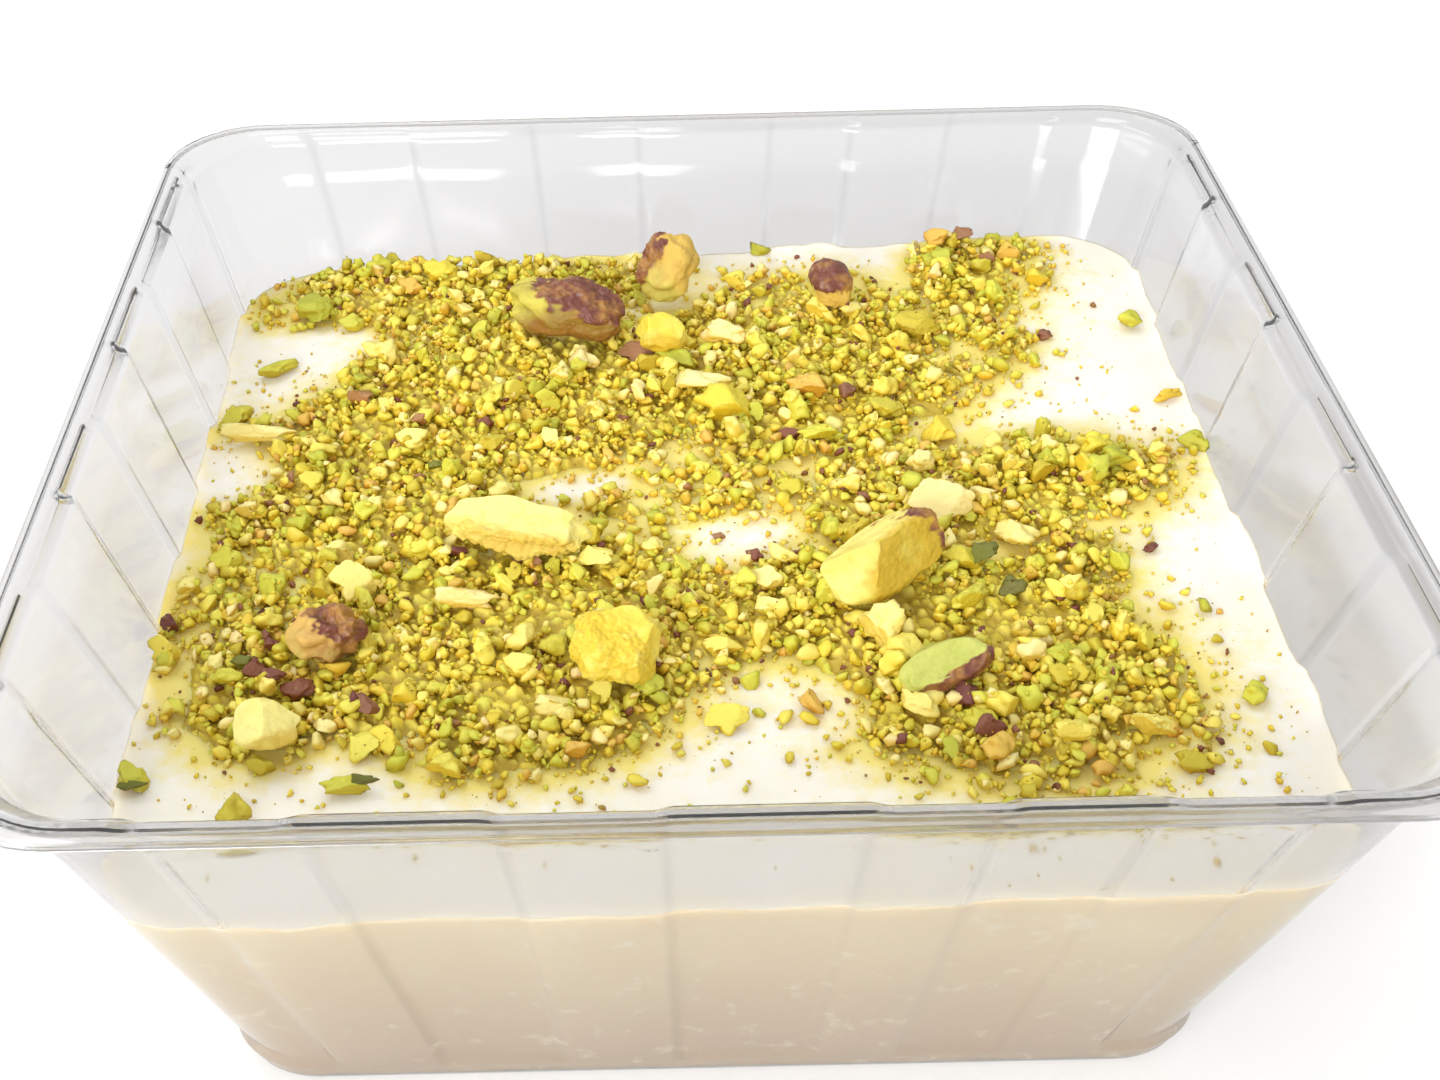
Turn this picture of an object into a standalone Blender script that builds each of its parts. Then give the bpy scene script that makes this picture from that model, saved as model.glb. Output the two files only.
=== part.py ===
"""Kheer in its tub: rice pudding in a clear square plastic tub, with chopped pistachio on top.

The origin is at the middle of the tub's base. +Z is up, and -Y is the side that faces the reader.
Lengths are in metres.
"""

import math

import bmesh
import bpy
from mathutils import Euler, Vector, noise

MM = 0.001

# The tub: driving dimensions
RIM_WIDTH = 130 * MM
TUB_HEIGHT = 51.3 * MM
BASE_WIDTH = 94.2 * MM
WALL_THICKNESS = 0.6 * MM
WALL_SLOPE = 0.29
FLANGE_WIDTH = 2 * MM
LIP_DEPTH = 0.9 * MM
RIM_CORNER_RADIUS = 11.5 * MM
WALL_CORNER_RADIUS = 9.5 * MM
CORNER_SEGMENTS = 4
RIM_BEVEL_OUT = 0.7 * MM
RIM_BEVEL_UP = 0.4 * MM

# The base curves up into the wall: how far out from the wall's line, and how far above the base.
BASE_CURVE = ((-1.2 * MM, 0), (-0.2 * MM, 0.3 * MM), (0.3 * MM, 1.1 * MM))

# The wall's upright panels stand in and out by turns, and narrow with it towards the base.
# Their edges are shares of the half width, along +Y on the side walls and +X on the others.
SIDE_PANEL_EDGES = (-0.715, -0.505, -0.275, -0.065, 0.165, 0.38, 0.605, 0.815)
END_PANEL_EDGES = (-0.77, -0.56, -0.305, -0.085, 0.19, 0.36, 0.56, 0.77)
PANEL_STEP = 0.65 * MM
STEP_RAMP = 0.5 * MM
PANEL_FOOT = 3 * MM
PANEL_FULL_DEPTH = 4.2 * MM
PANEL_TOP = TUB_HEIGHT - 1 * MM

# The pudding is poured to a level that tips a little to the left and the front.
LEVEL = 34 * MM
LEVEL_TIP_X = 0.026
LEVEL_TIP_Y = 0.015
LEVEL_SWELL = 0.2 * MM
SWELL_LENGTH = 13 * MM
KHEER_GAP = 0.45 * MM

# The chopped nuts lie on the pudding as lobes: centre, half lengths, turn in degrees.
HEAP_GAP = 0.4 * MM
HEAP_CELL = 3.7 * MM
HEAP_EDGE = 0.6 * MM
HEAP_MIDDLE = 2.1 * MM
HEAP_LUMPS = 0.5 * MM
HEAP_LUMP_LENGTH = 5 * MM
HEAP_RAGGED = 0.22
HEAP_RAGGED_LENGTH = 7 * MM
HEAP_WALL_GAP = 1.5 * MM
HEAP_WALL_FADE = 8 * MM
SEAT = 1.1 * MM
HEAP_LOBES = (
    ((-28, 50), (25, 9), 2),
    ((-24, 23), (29, 18), 8),
    ((13, 28), (19, 20), -10),
    ((30, 2), (22, 10), 8),
    ((27, -26), (20, 16), -30),
    ((4, -16), (14, 9), 0),
    ((-21, -18), (28, 17), 0),
    ((-17, -30), (15, 10), 10),
    ((-36, 2), (18, 12), 0),
    ((-43, -25), (10, 11), 0),
)
CORNER_LOBES = (((39, 47), (10, 11), 20),)
BARE_SPOTS = (
    ((-46, 38), (9, 6), 0),
    ((-13, 6), (7, 3.5), 5),
    ((4, -5), (7, 5), 20),
    ((6, -33), (9, 8), 0),
)

PLASTIC = ((0.86, 0.87, 0.88), 0.06)
CREAM = ((0.93, 0.88, 0.72), 0.45)
CRUMB = ((0.60, 0.46, 0.10), 0.8)
PALE_NUT = ((0.86, 0.72, 0.28), 0.55)
GOLD_NUT = ((0.72, 0.45, 0.07), 0.6)
GREEN_NUT = ((0.42, 0.52, 0.08), 0.55)
SKINNED_NUT = ((0.27, 0.10, 0.06), 0.6)


def clear_scene():
    for old in list(bpy.data.objects):
        bpy.data.objects.remove(old)


def material(name, colour, roughness):
    made = bpy.data.materials.new(name)
    made.use_nodes = True
    shader = made.node_tree.nodes["Principled BSDF"]
    shader.inputs["Base Color"].default_value = (*colour, 1)
    shader.inputs["Roughness"].default_value = roughness
    shader.inputs["Metallic"].default_value = 0
    made.diffuse_color = (*colour, 1)
    return made


def add_object(name, shape, collection, looks):
    """Turns a bmesh into a smooth-shaded object with its own material."""
    mesh = bpy.data.meshes.new(name)
    shape.to_mesh(mesh)
    shape.free()
    mesh.shade_smooth()
    mesh.set_sharp_from_angle(angle=math.radians(35))
    mesh.materials.append(material(name + "_finish", *looks))
    made = bpy.data.objects.new(name, mesh)
    collection.objects.link(made)
    return made


# ---------------------------------------------------------------- the tub


def wall_half(height):
    """Half the tub's inner width at a height above the base, between its outer panels."""
    return BASE_WIDTH / 2 + WALL_SLOPE * height


def wall_radius(half):
    """The wall's round corners narrow with the half width, from their radius at the top."""
    return WALL_CORNER_RADIUS * half / wall_half(PANEL_TOP)


def wall_side(edges, half, radius, step, inset):
    """One side of a level section, seen as the +X side, from its first panel edge to past its corner."""
    side = []
    for number, share in enumerate(edges):
        before, after = (step, 0) if number % 2 == 0 else (0, step)
        side.append(Vector((half - inset - before, share * half - STEP_RAMP / 2, 0)))
        side.append(Vector((half - inset - after, share * half + STEP_RAMP / 2, 0)))
    centre = half - step - radius
    for turn in range(CORNER_SEGMENTS + 1):
        angle = math.pi / 2 * turn / CORNER_SEGMENTS
        reach = radius - inset
        side.append(Vector((centre + reach * math.cos(angle), centre + reach * math.sin(angle), 0)))
    return side


def outline(half, radius, step, inset=0.0):
    """A level section of the wall, anticlockwise: four sides of stepped panels, and round corners."""
    right, back = SIDE_PANEL_EDGES, [-share for share in reversed(END_PANEL_EDGES)]
    left, front = [-share for share in reversed(SIDE_PANEL_EDGES)], END_PANEL_EDGES
    around = []
    for quarter, edges in enumerate((right, back, left, front)):
        turned = Euler((0, 0, quarter * math.pi / 2)).to_matrix()
        around += [turned @ point for point in wall_side(edges, half, radius, step, inset)]
    return around


def at_height(ring, height):
    return [Vector((point.x, point.y, height)) for point in ring]


def loft(rings, closed_top):
    """Joins anticlockwise rings of equal count from the lowest up, over a flat bottom."""
    shape = bmesh.new()
    made = [[shape.verts.new(point) for point in ring] for ring in rings]
    for low, high in zip(made, made[1:]):
        for index in range(len(low)):
            following = (index + 1) % len(low)
            shape.faces.new((low[index], low[following], high[following], high[index]))
    shape.faces.new(reversed(made[0]))
    if closed_top:
        shape.faces.new(made[-1])
    return shape


def add_tub(collection):
    """The clear shell: an open inner surface, with Solidify to give the plastic its thickness."""
    rim_half = RIM_WIDTH / 2
    ledge_half = rim_half - FLANGE_WIDTH
    top_half = wall_half(PANEL_TOP)
    stations = [(wall_half(0) + out, WALL_THICKNESS + up, 0) for out, up in BASE_CURVE]
    stations += [
        (wall_half(PANEL_FOOT), PANEL_FOOT, 0),
        (wall_half(PANEL_FULL_DEPTH), PANEL_FULL_DEPTH, PANEL_STEP),
        (top_half, PANEL_TOP, PANEL_STEP),
        (top_half + RIM_BEVEL_OUT, PANEL_TOP + RIM_BEVEL_UP, PANEL_STEP),
        (ledge_half, TUB_HEIGHT, PANEL_STEP),
    ]
    rings = [at_height(outline(half, wall_radius(half), step), z) for half, z, step in stations]
    rim = outline(rim_half, RIM_CORNER_RADIUS, 0)
    rings.append(at_height(rim, TUB_HEIGHT))
    rings.append(at_height(rim, TUB_HEIGHT - LIP_DEPTH))
    tub = add_object("tub", loft(rings, closed_top=False), collection, PLASTIC)
    skin = tub.modifiers.new("plastic thickness", "SOLIDIFY")
    skin.thickness = WALL_THICKNESS
    skin.offset = 1
    skin.use_even_offset = True
    return tub


# ---------------------------------------------------------------- the pudding


def level(x, y):
    """Height of the pudding's top over a point of the plan: a tipped level with a slow swell."""
    swell = LEVEL_SWELL * math.sin(x / SWELL_LENGTH + 0.7) * math.cos(y / SWELL_LENGTH)
    return LEVEL + LEVEL_TIP_X * x + LEVEL_TIP_Y * y + swell


def pudding_edge():
    """The line where the pudding's top meets the wall, kept clear of it by the gap."""
    edge = []
    half = wall_half(LEVEL)
    flat = outline(half, wall_radius(half), PANEL_STEP, KHEER_GAP)
    for index, point in enumerate(flat):
        height = level(point.x, point.y)
        half = wall_half(height)
        fitted = outline(half, wall_radius(half), PANEL_STEP, KHEER_GAP)[index]
        edge.append(Vector((fitted.x, fitted.y, height)))
    return edge


def add_kheer(collection):
    """The pudding fills the tub from its base to the level. The last rings carry the level inwards."""
    bottom = WALL_THICKNESS + KHEER_GAP
    stations = [(wall_half(0) + out, bottom + up, 0) for out, up in BASE_CURVE[:2]]
    stations += [
        (wall_half(PANEL_FOOT), PANEL_FOOT, 0),
        (wall_half(PANEL_FULL_DEPTH), PANEL_FULL_DEPTH, PANEL_STEP),
    ]
    rings = []
    for half, height, step in stations:
        rings.append(at_height(outline(half, wall_radius(half), step, KHEER_GAP), height))
    edge = pudding_edge()
    rings.append(edge)
    for share in (0.82, 0.5, 0.2):
        rings.append([Vector((p.x * share, p.y * share, level(p.x * share, p.y * share))) for p in edge])
    return add_object("kheer", loft(rings, closed_top=True), collection, CREAM)


# ---------------------------------------------------------------- the nuts


def inside_share(x, y, spot):
    """Positive inside an oval spot of the plan, 1 at its centre, and negative outside it."""
    (centre_x, centre_y), (half_x, half_y), turn = spot
    offset = Vector((x / MM - centre_x, y / MM - centre_y, 0))
    offset.rotate(Euler((0, 0, -math.radians(turn))))
    return 1 - (offset.x / half_x) ** 2 - (offset.y / half_y) ** 2


def cover(x, y, lobes):
    """Positive where chopped nuts lie, with a ragged zero line round the lobes."""
    share = max(inside_share(x, y, lobe) for lobe in lobes)
    for spot in BARE_SPOTS:
        share = min(share, -inside_share(x, y, spot))
    share += HEAP_RAGGED * noise.noise(Vector((x, y, 0)) / HEAP_RAGGED_LENGTH)
    free = wall_half(LEVEL) - PANEL_STEP - HEAP_WALL_GAP - max(abs(x), abs(y))
    return min(share, free / HEAP_WALL_FADE)


def nut_ball(detail, wrinkle, seed, planes, groove=0.0, taper=0.0):
    """A ball of radius 1, wrinkled, with a pointed end, a groove along it, and flat broken faces."""
    shape = bmesh.new()
    bmesh.ops.create_icosphere(shape, subdivisions=detail, radius=1)
    for vertex in shape.verts:
        point = vertex.co
        slim = 1 - taper * max(0, point.x) ** 2
        point.y *= slim
        point.z *= slim
        point *= 1 - groove * math.exp(-((point.y / 0.18) ** 2)) * (point.z > 0)
        point *= 1 + wrinkle * noise.noise(point * 2.2 + Vector((seed, 0, 0)))
        for normal, reach in planes:
            flat = Vector(normal).normalized()
            point -= flat * max(0, point.dot(flat) - reach)
    return shape


def add_nut(collection, name, place, size, turns, looks, detail=3, **form):
    """One large piece: its length, width and thickness, turned, and set down on the chopped nuts."""
    shape = nut_ball(detail, **form)
    bmesh.ops.scale(shape, vec=Vector(size) * MM / 2, verts=shape.verts)
    turned = Euler([math.radians(turn) for turn in turns]).to_matrix()
    lowest = min((turned @ vertex.co).z for vertex in shape.verts)
    x, y = place[0] * MM, place[1] * MM
    nut = add_object(name, shape, collection, looks)
    nut.location = (x, y, level(x, y) + SEAT + 2 * HEAP_GAP - lowest)
    nut.rotation_euler = [math.radians(turn) for turn in turns]
    return nut


def add_nuts(collection):
    """The ten pieces that are as large as berries. Sizes and places are in millimetres."""
    add_nut(
        collection, "kernel_whole_skinned", (-14.3, 35.6), (14.8, 9, 7.6), (8, 4, -27), SKINNED_NUT,
        wrinkle=0.16, seed=1.0, planes=(((0, 0, -1), 0.75),), groove=0.16, taper=0.25,
    )
    add_nut(
        collection, "kernel_leaning", (-2, 44.8), (9.6, 8, 6.6), (0, -46, 66), GOLD_NUT,
        wrinkle=0.18, seed=2.3, planes=(((-1, 0, 0), 0.8),), groove=0.2, taper=0.3,
    )
    add_nut(
        collection, "kernel_half_large", (18, -16.6), (15.4, 9, 8.2), (0, -8, 37), PALE_NUT,
        wrinkle=0.08, seed=3.9, planes=(((-0.1, 0.6, 0.8), 0.42), ((-0.9, -0.5, 0), 0.62),
                                        ((0, -0.85, 0.4), 0.55)), taper=0.2,
    )
    add_nut(
        collection, "kernel_slab", (-19.4, -7), (15.2, 7.4, 5.4), (10, 3, -14), PALE_NUT,
        wrinkle=0.2, seed=5.2, planes=(((0, 0.1, 1), 0.4), ((0.1, -1, 0), 0.7)), taper=0.1,
    )
    add_nut(
        collection, "chunk_gold", (-9.5, -27.4), (9.6, 8.4, 6.6), (0, 6, -10), GOLD_NUT,
        wrinkle=0.18, seed=6.4, planes=(((0, -0.7, 0.7), 0.72), ((-1, 0, 0), 0.8)),
    )
    add_nut(
        collection, "chunk_skinned", (-38, -23.2), (8.2, 6.4, 5.2), (0, 0, 20), SKINNED_NUT,
        wrinkle=0.24, seed=7.7, planes=(((-0.9, 0, 0.4), 0.6), ((0, -1, 0.2), 0.7)),
    )
    add_nut(
        collection, "slice_green", (22.5, -30.4), (9.8, 4.6, 3), (34, -6, 24), GREEN_NUT,
        wrinkle=0.1, seed=8.1, planes=(((0, 0, 1), 0.45), ((0, 0, -1), 0.6)),
    )
    add_nut(
        collection, "chunk_pale", (-42.2, -34.9), (6.8, 5.8, 4.2), (0, 8, 15), PALE_NUT, detail=2,
        wrinkle=0.12, seed=9.5, planes=(((0.3, -0.5, 0.8), 0.6), ((-0.8, 0.4, 0.5), 0.65),
                                        ((0.9, 0.4, 0.3), 0.7)),
    )
    add_nut(
        collection, "kernel_tip", (18.1, 40.6), (7.2, 5.6, 5.2), (0, -28, 118), SKINNED_NUT, detail=2,
        wrinkle=0.14, seed=11.2, planes=(((-1, 0, 0), 0.6),), taper=0.25,
    )
    add_nut(
        collection, "chunk_yellow", (-3.3, 31.6), (6.6, 5, 4.2), (0, 10, -8), GOLD_NUT, detail=2,
        wrinkle=0.12, seed=12.6, planes=(((0.2, -0.6, 0.8), 0.6), ((-0.9, -0.3, 0.2), 0.7)),
    )


def seat_limit(x, y, nuts):
    """How thick the heap may be at a point: no more than the seat under and close by a large piece."""
    for nut in nuts:
        reach = max(nut.dimensions.xy) / 2 + HEAP_CELL * 1.5
        if math.hypot(x - nut.location.x, y - nut.location.y) < reach:
            return SEAT
    return HEAP_MIDDLE + HEAP_LUMPS


def heap_thickness(x, y, lobes, nuts):
    share = max(0, min(1, cover(x, y, lobes) * 2))
    lumps = HEAP_LUMPS * noise.noise(Vector((x, y, 0)) / HEAP_LUMP_LENGTH)
    wanted = HEAP_EDGE + (HEAP_MIDDLE - HEAP_EDGE) * share + lumps * share
    return min(wanted, seat_limit(x, y, nuts))


def pull_to_outline(vertex, lobes):
    """Slides a vertex that is less than half a cell from the heap's outline onto it."""
    nudge = 0.2 * MM
    here = cover(vertex.co.x, vertex.co.y, lobes)
    slope = Vector((
        cover(vertex.co.x + nudge, vertex.co.y, lobes) - here,
        cover(vertex.co.x, vertex.co.y + nudge, lobes) - here,
        0,
    )) / nudge
    if slope.length * HEAP_CELL / 2 > abs(here):
        vertex.co -= slope * here / slope.length_squared
        return True
    return here > 0


def largest_island(shape):
    """The faces of the largest stretch that holds together."""
    left = set(shape.faces)
    largest = set()
    while left:
        island = set()
        reached = [left.pop()]
        while reached:
            face = reached.pop()
            island.add(face)
            beside = {other for edge in face.edges for other in edge.link_faces} & left
            left -= beside
            reached += beside
        largest = max(largest, island, key=len)
    return largest


def add_heap(collection, name, lobes, nuts):
    """The chopped nuts as one low solid: a sheet of cells cut to the outline, then raised."""
    reach = wall_half(LEVEL)
    cells = round(2 * reach / HEAP_CELL)
    shape = bmesh.new()
    bmesh.ops.create_grid(shape, x_segments=cells, y_segments=cells, size=reach)
    bmesh.ops.triangulate(shape, faces=shape.faces)
    kept = {vertex: pull_to_outline(vertex, lobes) for vertex in shape.verts}
    bmesh.ops.delete(shape, geom=[v for v in shape.verts if not kept[v]], context="VERTS")
    pinched = [v for v in shape.verts if sum(edge.is_boundary for edge in v.link_edges) > 2]
    bmesh.ops.delete(shape, geom=pinched, context="VERTS")
    main_stretch = largest_island(shape)
    bmesh.ops.delete(shape, geom=[f for f in shape.faces if f not in main_stretch], context="FACES")
    for vertex in shape.verts:
        vertex.co.z = level(vertex.co.x, vertex.co.y) + HEAP_GAP
    raised = bmesh.ops.extrude_face_region(shape, geom=list(shape.faces))["geom"]
    for part in raised:
        if isinstance(part, bmesh.types.BMVert):
            part.co.z += heap_thickness(part.co.x, part.co.y, lobes, nuts)
    bmesh.ops.recalc_face_normals(shape, faces=shape.faces)
    return add_object(name, shape, collection, CRUMB)


def main():
    clear_scene()
    kheer_tub = bpy.data.collections.new("kheer_tub")
    bpy.context.scene.collection.children.link(kheer_tub)
    add_tub(kheer_tub)
    add_kheer(kheer_tub)
    add_nuts(kheer_tub)
    bpy.context.view_layer.update()
    nuts = [made for made in kheer_tub.objects if made.name not in ("tub", "kheer")]
    add_heap(kheer_tub, "chopped_nuts", HEAP_LOBES, nuts)
    add_heap(kheer_tub, "chopped_nuts_corner", CORNER_LOBES, nuts)


main()
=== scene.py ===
# %% [markdown]
# # Kheer in its clear tub
#
# Kheer is rice pudding, here poured into a square clear plastic tub and strewn with chopped pistachio.
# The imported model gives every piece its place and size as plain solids. Each step of this lesson gives
# one of them its real form and finish, from the large to the small: the view and the light, the tub,
# the pudding, the large nuts, the chopped nuts, and last the dust. The solids themselves never move.

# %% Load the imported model
import math
import random

import bmesh
import bpy
import numpy as np
from mathutils import Euler, Matrix, Vector, noise


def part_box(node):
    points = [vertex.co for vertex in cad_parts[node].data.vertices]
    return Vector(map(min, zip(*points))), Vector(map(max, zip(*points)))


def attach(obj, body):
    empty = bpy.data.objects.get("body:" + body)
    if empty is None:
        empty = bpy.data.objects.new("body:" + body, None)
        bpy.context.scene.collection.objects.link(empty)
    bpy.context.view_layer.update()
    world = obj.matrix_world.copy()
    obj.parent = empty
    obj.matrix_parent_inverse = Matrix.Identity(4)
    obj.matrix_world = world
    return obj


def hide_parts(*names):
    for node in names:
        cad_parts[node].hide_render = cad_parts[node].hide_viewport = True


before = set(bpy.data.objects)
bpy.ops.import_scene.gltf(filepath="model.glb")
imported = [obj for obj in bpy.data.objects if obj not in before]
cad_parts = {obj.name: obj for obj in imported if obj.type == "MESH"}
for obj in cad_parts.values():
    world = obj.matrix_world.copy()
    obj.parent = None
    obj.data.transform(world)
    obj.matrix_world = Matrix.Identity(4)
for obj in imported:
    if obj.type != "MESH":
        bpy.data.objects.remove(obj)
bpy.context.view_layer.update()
MM = 0.001
NOISE_SEED = 3

# Blender's noise vectors start from the clock unless a seed is set, and each run would differ.
noise.seed_set(NOISE_SEED)
print("solids:", ", ".join(sorted(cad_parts)))

# %% [markdown]
# ## The view and the light
#
# The camera stands in front of the tub and looks down into it. A lens shift moves the picture sideways
# without turning the camera, so that upright edges keep their slant.
# The light is that of a white studio. A pale world lights everything evenly. A large soft lamp high
# behind on the left brightens the tops of the nuts and leaves their fronts in soft shade, and a lower,
# wider one in front on the left lights the side of the pudding through the wall. The floor glows a
# little, as a light table does, so that the tub's shadow on it stays faint.

# %% Camera
CAMERA_PLACE = Vector((-7.2, -172.7, 160.2)) * MM
CAMERA_DOWN = math.radians(36.83)
CAMERA_TURN = math.radians(0.3)
CAMERA_ROLL = math.radians(-1.51)
CAMERA_LENS = 49.0
CAMERA_SHIFT = 0.0663


def add_camera():
    data = bpy.data.cameras.new("camera")
    data.lens = CAMERA_LENS
    data.shift_x = CAMERA_SHIFT
    data.clip_start = 0.01
    made = bpy.data.objects.new("camera", data)
    bpy.context.scene.collection.objects.link(made)
    aim = Euler((math.pi / 2 - CAMERA_DOWN, 0, CAMERA_TURN)).to_matrix()
    roll = Matrix.Rotation(CAMERA_ROLL, 3, "Z")
    made.matrix_world = Matrix.Translation(CAMERA_PLACE) @ (aim @ roll).to_4x4()
    bpy.context.scene.camera = made
    return made


camera = add_camera()
print("camera at", [round(v / MM) for v in camera.matrix_world.translation], "mm")

# %% Light and floor
WORLD_COLOUR = (1.0, 1.0, 1.0)
WORLD_STRENGTH = 0.84
KEY_PLACE = Vector((-0.3, 0.3, 0.85))
KEY_SIZE = (0.4, 0.4)
KEY_POWER = 2.25
FILL_PLACE = Vector((-0.35, -0.75, 0.4))
FILL_SIZE = (0.7, 0.3)
FILL_POWER = 6.9
FLOOR_SIZE = 4.0
FLOOR_COLOUR = (0.78, 0.78, 0.78)
FLOOR_GLOW = 0.2


def add_world():
    world = bpy.data.worlds.new("studio")
    world.use_nodes = True
    background = world.node_tree.nodes["Background"]
    background.inputs["Color"].default_value = (*WORLD_COLOUR, 1)
    background.inputs["Strength"].default_value = WORLD_STRENGTH
    bpy.context.scene.world = world


def add_lamp(name, place, size, power):
    """A soft lamp that looks at the middle of the tub."""
    data = bpy.data.lights.new(name, "AREA")
    data.shape = "RECTANGLE"
    data.size, data.size_y = size
    data.energy = power
    made = bpy.data.objects.new(name, data)
    made.location = place
    made.rotation_euler = (-place).to_track_quat("-Z", "Y").to_euler()
    bpy.context.scene.collection.objects.link(made)


def add_floor():
    half = FLOOR_SIZE / 2
    mesh = bpy.data.meshes.new("floor")
    corners = [(-half, -half, 0), (half, -half, 0), (half, half, 0), (-half, half, 0)]
    mesh.from_pydata(corners, [], [(0, 1, 2, 3)])
    paint = bpy.data.materials.new("floor_paint")
    paint.use_nodes = True
    shader = paint.node_tree.nodes["Principled BSDF"]
    shader.inputs["Base Color"].default_value = (*FLOOR_COLOUR, 1)
    shader.inputs["Roughness"].default_value = 1
    shader.inputs["Specular IOR Level"].default_value = 0
    shader.inputs["Emission Color"].default_value = (1, 1, 1, 1)
    shader.inputs["Emission Strength"].default_value = FLOOR_GLOW
    mesh.materials.append(paint)
    made = bpy.data.objects.new("floor", mesh)
    bpy.context.scene.collection.objects.link(made)


add_world()
add_lamp("key", KEY_PLACE, KEY_SIZE, KEY_POWER)
add_lamp("fill", FILL_PLACE, FILL_SIZE, FILL_POWER)
add_floor()
bpy.context.scene.view_settings.view_transform = "Standard"
print("one world, two lamps, one floor")

# %% [markdown]
# ## Small helpers for node materials
#
# A material here is one Principled shader with a few texture nodes before it. The helpers below only
# save typing: one adds a node and sets its values, one starts a material, and one starts a node group
# with named sockets. What is the same all over a surface is set on the shader's own sockets.

# %% Node helpers


def shade(red, green, blue):
    """A screen colour, 0 to 255 a channel, as the linear values that nodes work with."""
    return tuple(((value / 255 + 0.055) / 1.055) ** 2.4 for value in (red, green, blue)) + (1.0,)


def add_node(tree, kind, values=None, **settings):
    """Adds a node, sets its properties, and sets or links its inputs."""
    made = tree.nodes.new(kind)
    for name, setting in settings.items():
        setattr(made, name, setting)
    for socket, value in (values or {}).items():
        if isinstance(value, bpy.types.NodeSocket):
            tree.links.new(value, made.inputs[socket])
        else:
            made.inputs[socket].default_value = value
    return made


# A Mix node has sockets A, B and Result for each kind of value. These are the numbers of the colours'.
MIX_FIRST, MIX_SECOND, MIX_RESULT = 6, 7, 2


def mix_colours(tree, factor, first, second, blend="MIX"):
    made = add_node(tree, "ShaderNodeMix", {"Factor": factor, MIX_FIRST: first, MIX_SECOND: second},
                    data_type="RGBA", blend_type=blend)
    return made.outputs[MIX_RESULT]


def calculate(tree, operation, first, second):
    return add_node(tree, "ShaderNodeMath", {0: first, 1: second}, operation=operation).outputs[0]


def between(tree, value, low, high, new_low=0.0, new_high=1.0):
    """Maps low to new_low and high to new_high, and holds the ends."""
    made = add_node(tree, "ShaderNodeMapRange", {"Value": value, "From Min": low, "From Max": high,
                                                 "To Min": new_low, "To Max": new_high})
    return made.outputs["Result"]


def new_material(name, **values):
    """Starts a material and sets its Principled shader's sockets: Base_Color stands for Base Color."""
    made = bpy.data.materials.new(name)
    made.use_nodes = True
    shader = made.node_tree.nodes["Principled BSDF"]
    for socket, value in values.items():
        shader.inputs[socket.replace("_", " ")].default_value = value
    return made, made.node_tree, shader


def new_group(name, inputs, outputs):
    """Starts a node group. Sockets are given as {name: (kind, starting value)}."""
    tree = bpy.data.node_groups.new(name, "ShaderNodeTree")
    for way, sockets in (("INPUT", inputs), ("OUTPUT", outputs)):
        for socket, (kind, value) in sockets.items():
            made = tree.interface.new_socket(socket, in_out=way, socket_type="NodeSocket" + kind)
            if value is not None:
                made.default_value = value
    return tree, add_node(tree, "NodeGroupInput").outputs, add_node(tree, "NodeGroupOutput").inputs


def place_group(tree, group, **values):
    """Places a node group in a material and sets or links its inputs."""
    return add_node(tree, "ShaderNodeGroup", values, node_tree=group).outputs


# %% Group: mottle
def make_mottle():
    """Blends two colours by a soft cloud, as no food has one even colour."""
    tree, given, out = new_group(
        "mottle",
        {"First": ("Color", (1, 1, 1, 1)), "Second": ("Color", (0, 0, 0, 1)), "Size": ("Float", 0.004),
         "Centre": ("Float", 0.5), "Softness": ("Float", 0.15), "Seed": ("Float", 0.0)},
        {"Color": ("Color", None)},
    )
    where = add_node(tree, "ShaderNodeTexCoord").outputs["Object"]
    moved = add_node(tree, "ShaderNodeVectorMath", {0: where, 1: given["Seed"]}, operation="ADD")
    scale = calculate(tree, "DIVIDE", 1.0, given["Size"])
    cloud = add_node(tree, "ShaderNodeTexNoise", {"Vector": moved.outputs[0], "Scale": scale,
                                                  "Detail": 3.0, "Roughness": 0.55})
    low = calculate(tree, "SUBTRACT", given["Centre"], given["Softness"])
    high = calculate(tree, "ADD", given["Centre"], given["Softness"])
    mask = between(tree, cloud.outputs["Fac"], low, high)
    tree.links.new(mix_colours(tree, mask, given["First"], given["Second"]), out["Color"])
    return tree


MOTTLE = make_mottle()
print("node group:", MOTTLE.name)


# %% Group: crumbled
def make_crumbled():
    """The broken face of a nut: fine pits and grains, as a normal and as a mask of the pits."""
    tree, given, out = new_group(
        "crumbled",
        {"Size": ("Float", 0.0008), "Depth": ("Float", 0.0001), "Seed": ("Float", 0.0)},
        {"Normal": ("Vector", None), "Pits": ("Float", None)},
    )
    where = add_node(tree, "ShaderNodeTexCoord").outputs["Object"]
    moved = add_node(tree, "ShaderNodeVectorMath", {0: where, 1: given["Seed"]}, operation="ADD")
    scale = calculate(tree, "DIVIDE", 1.0, given["Size"])
    cells = add_node(tree, "ShaderNodeTexVoronoi", {"Vector": moved.outputs[0], "Scale": scale},
                     feature="SMOOTH_F1")
    cloud = add_node(tree, "ShaderNodeTexNoise", {"Vector": moved.outputs[0], "Scale": scale, "Detail": 2.0})
    height = calculate(tree, "SUBTRACT", cloud.outputs["Fac"], cells.outputs["Distance"])
    bump = add_node(tree, "ShaderNodeBump", {"Height": height, "Distance": given["Depth"]})
    tree.links.new(bump.outputs["Normal"], out["Normal"])
    tree.links.new(between(tree, height, 0.0, -0.45), out["Pits"])
    return tree


CRUMBLED = make_crumbled()
print("node group:", CRUMBLED.name)

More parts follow.
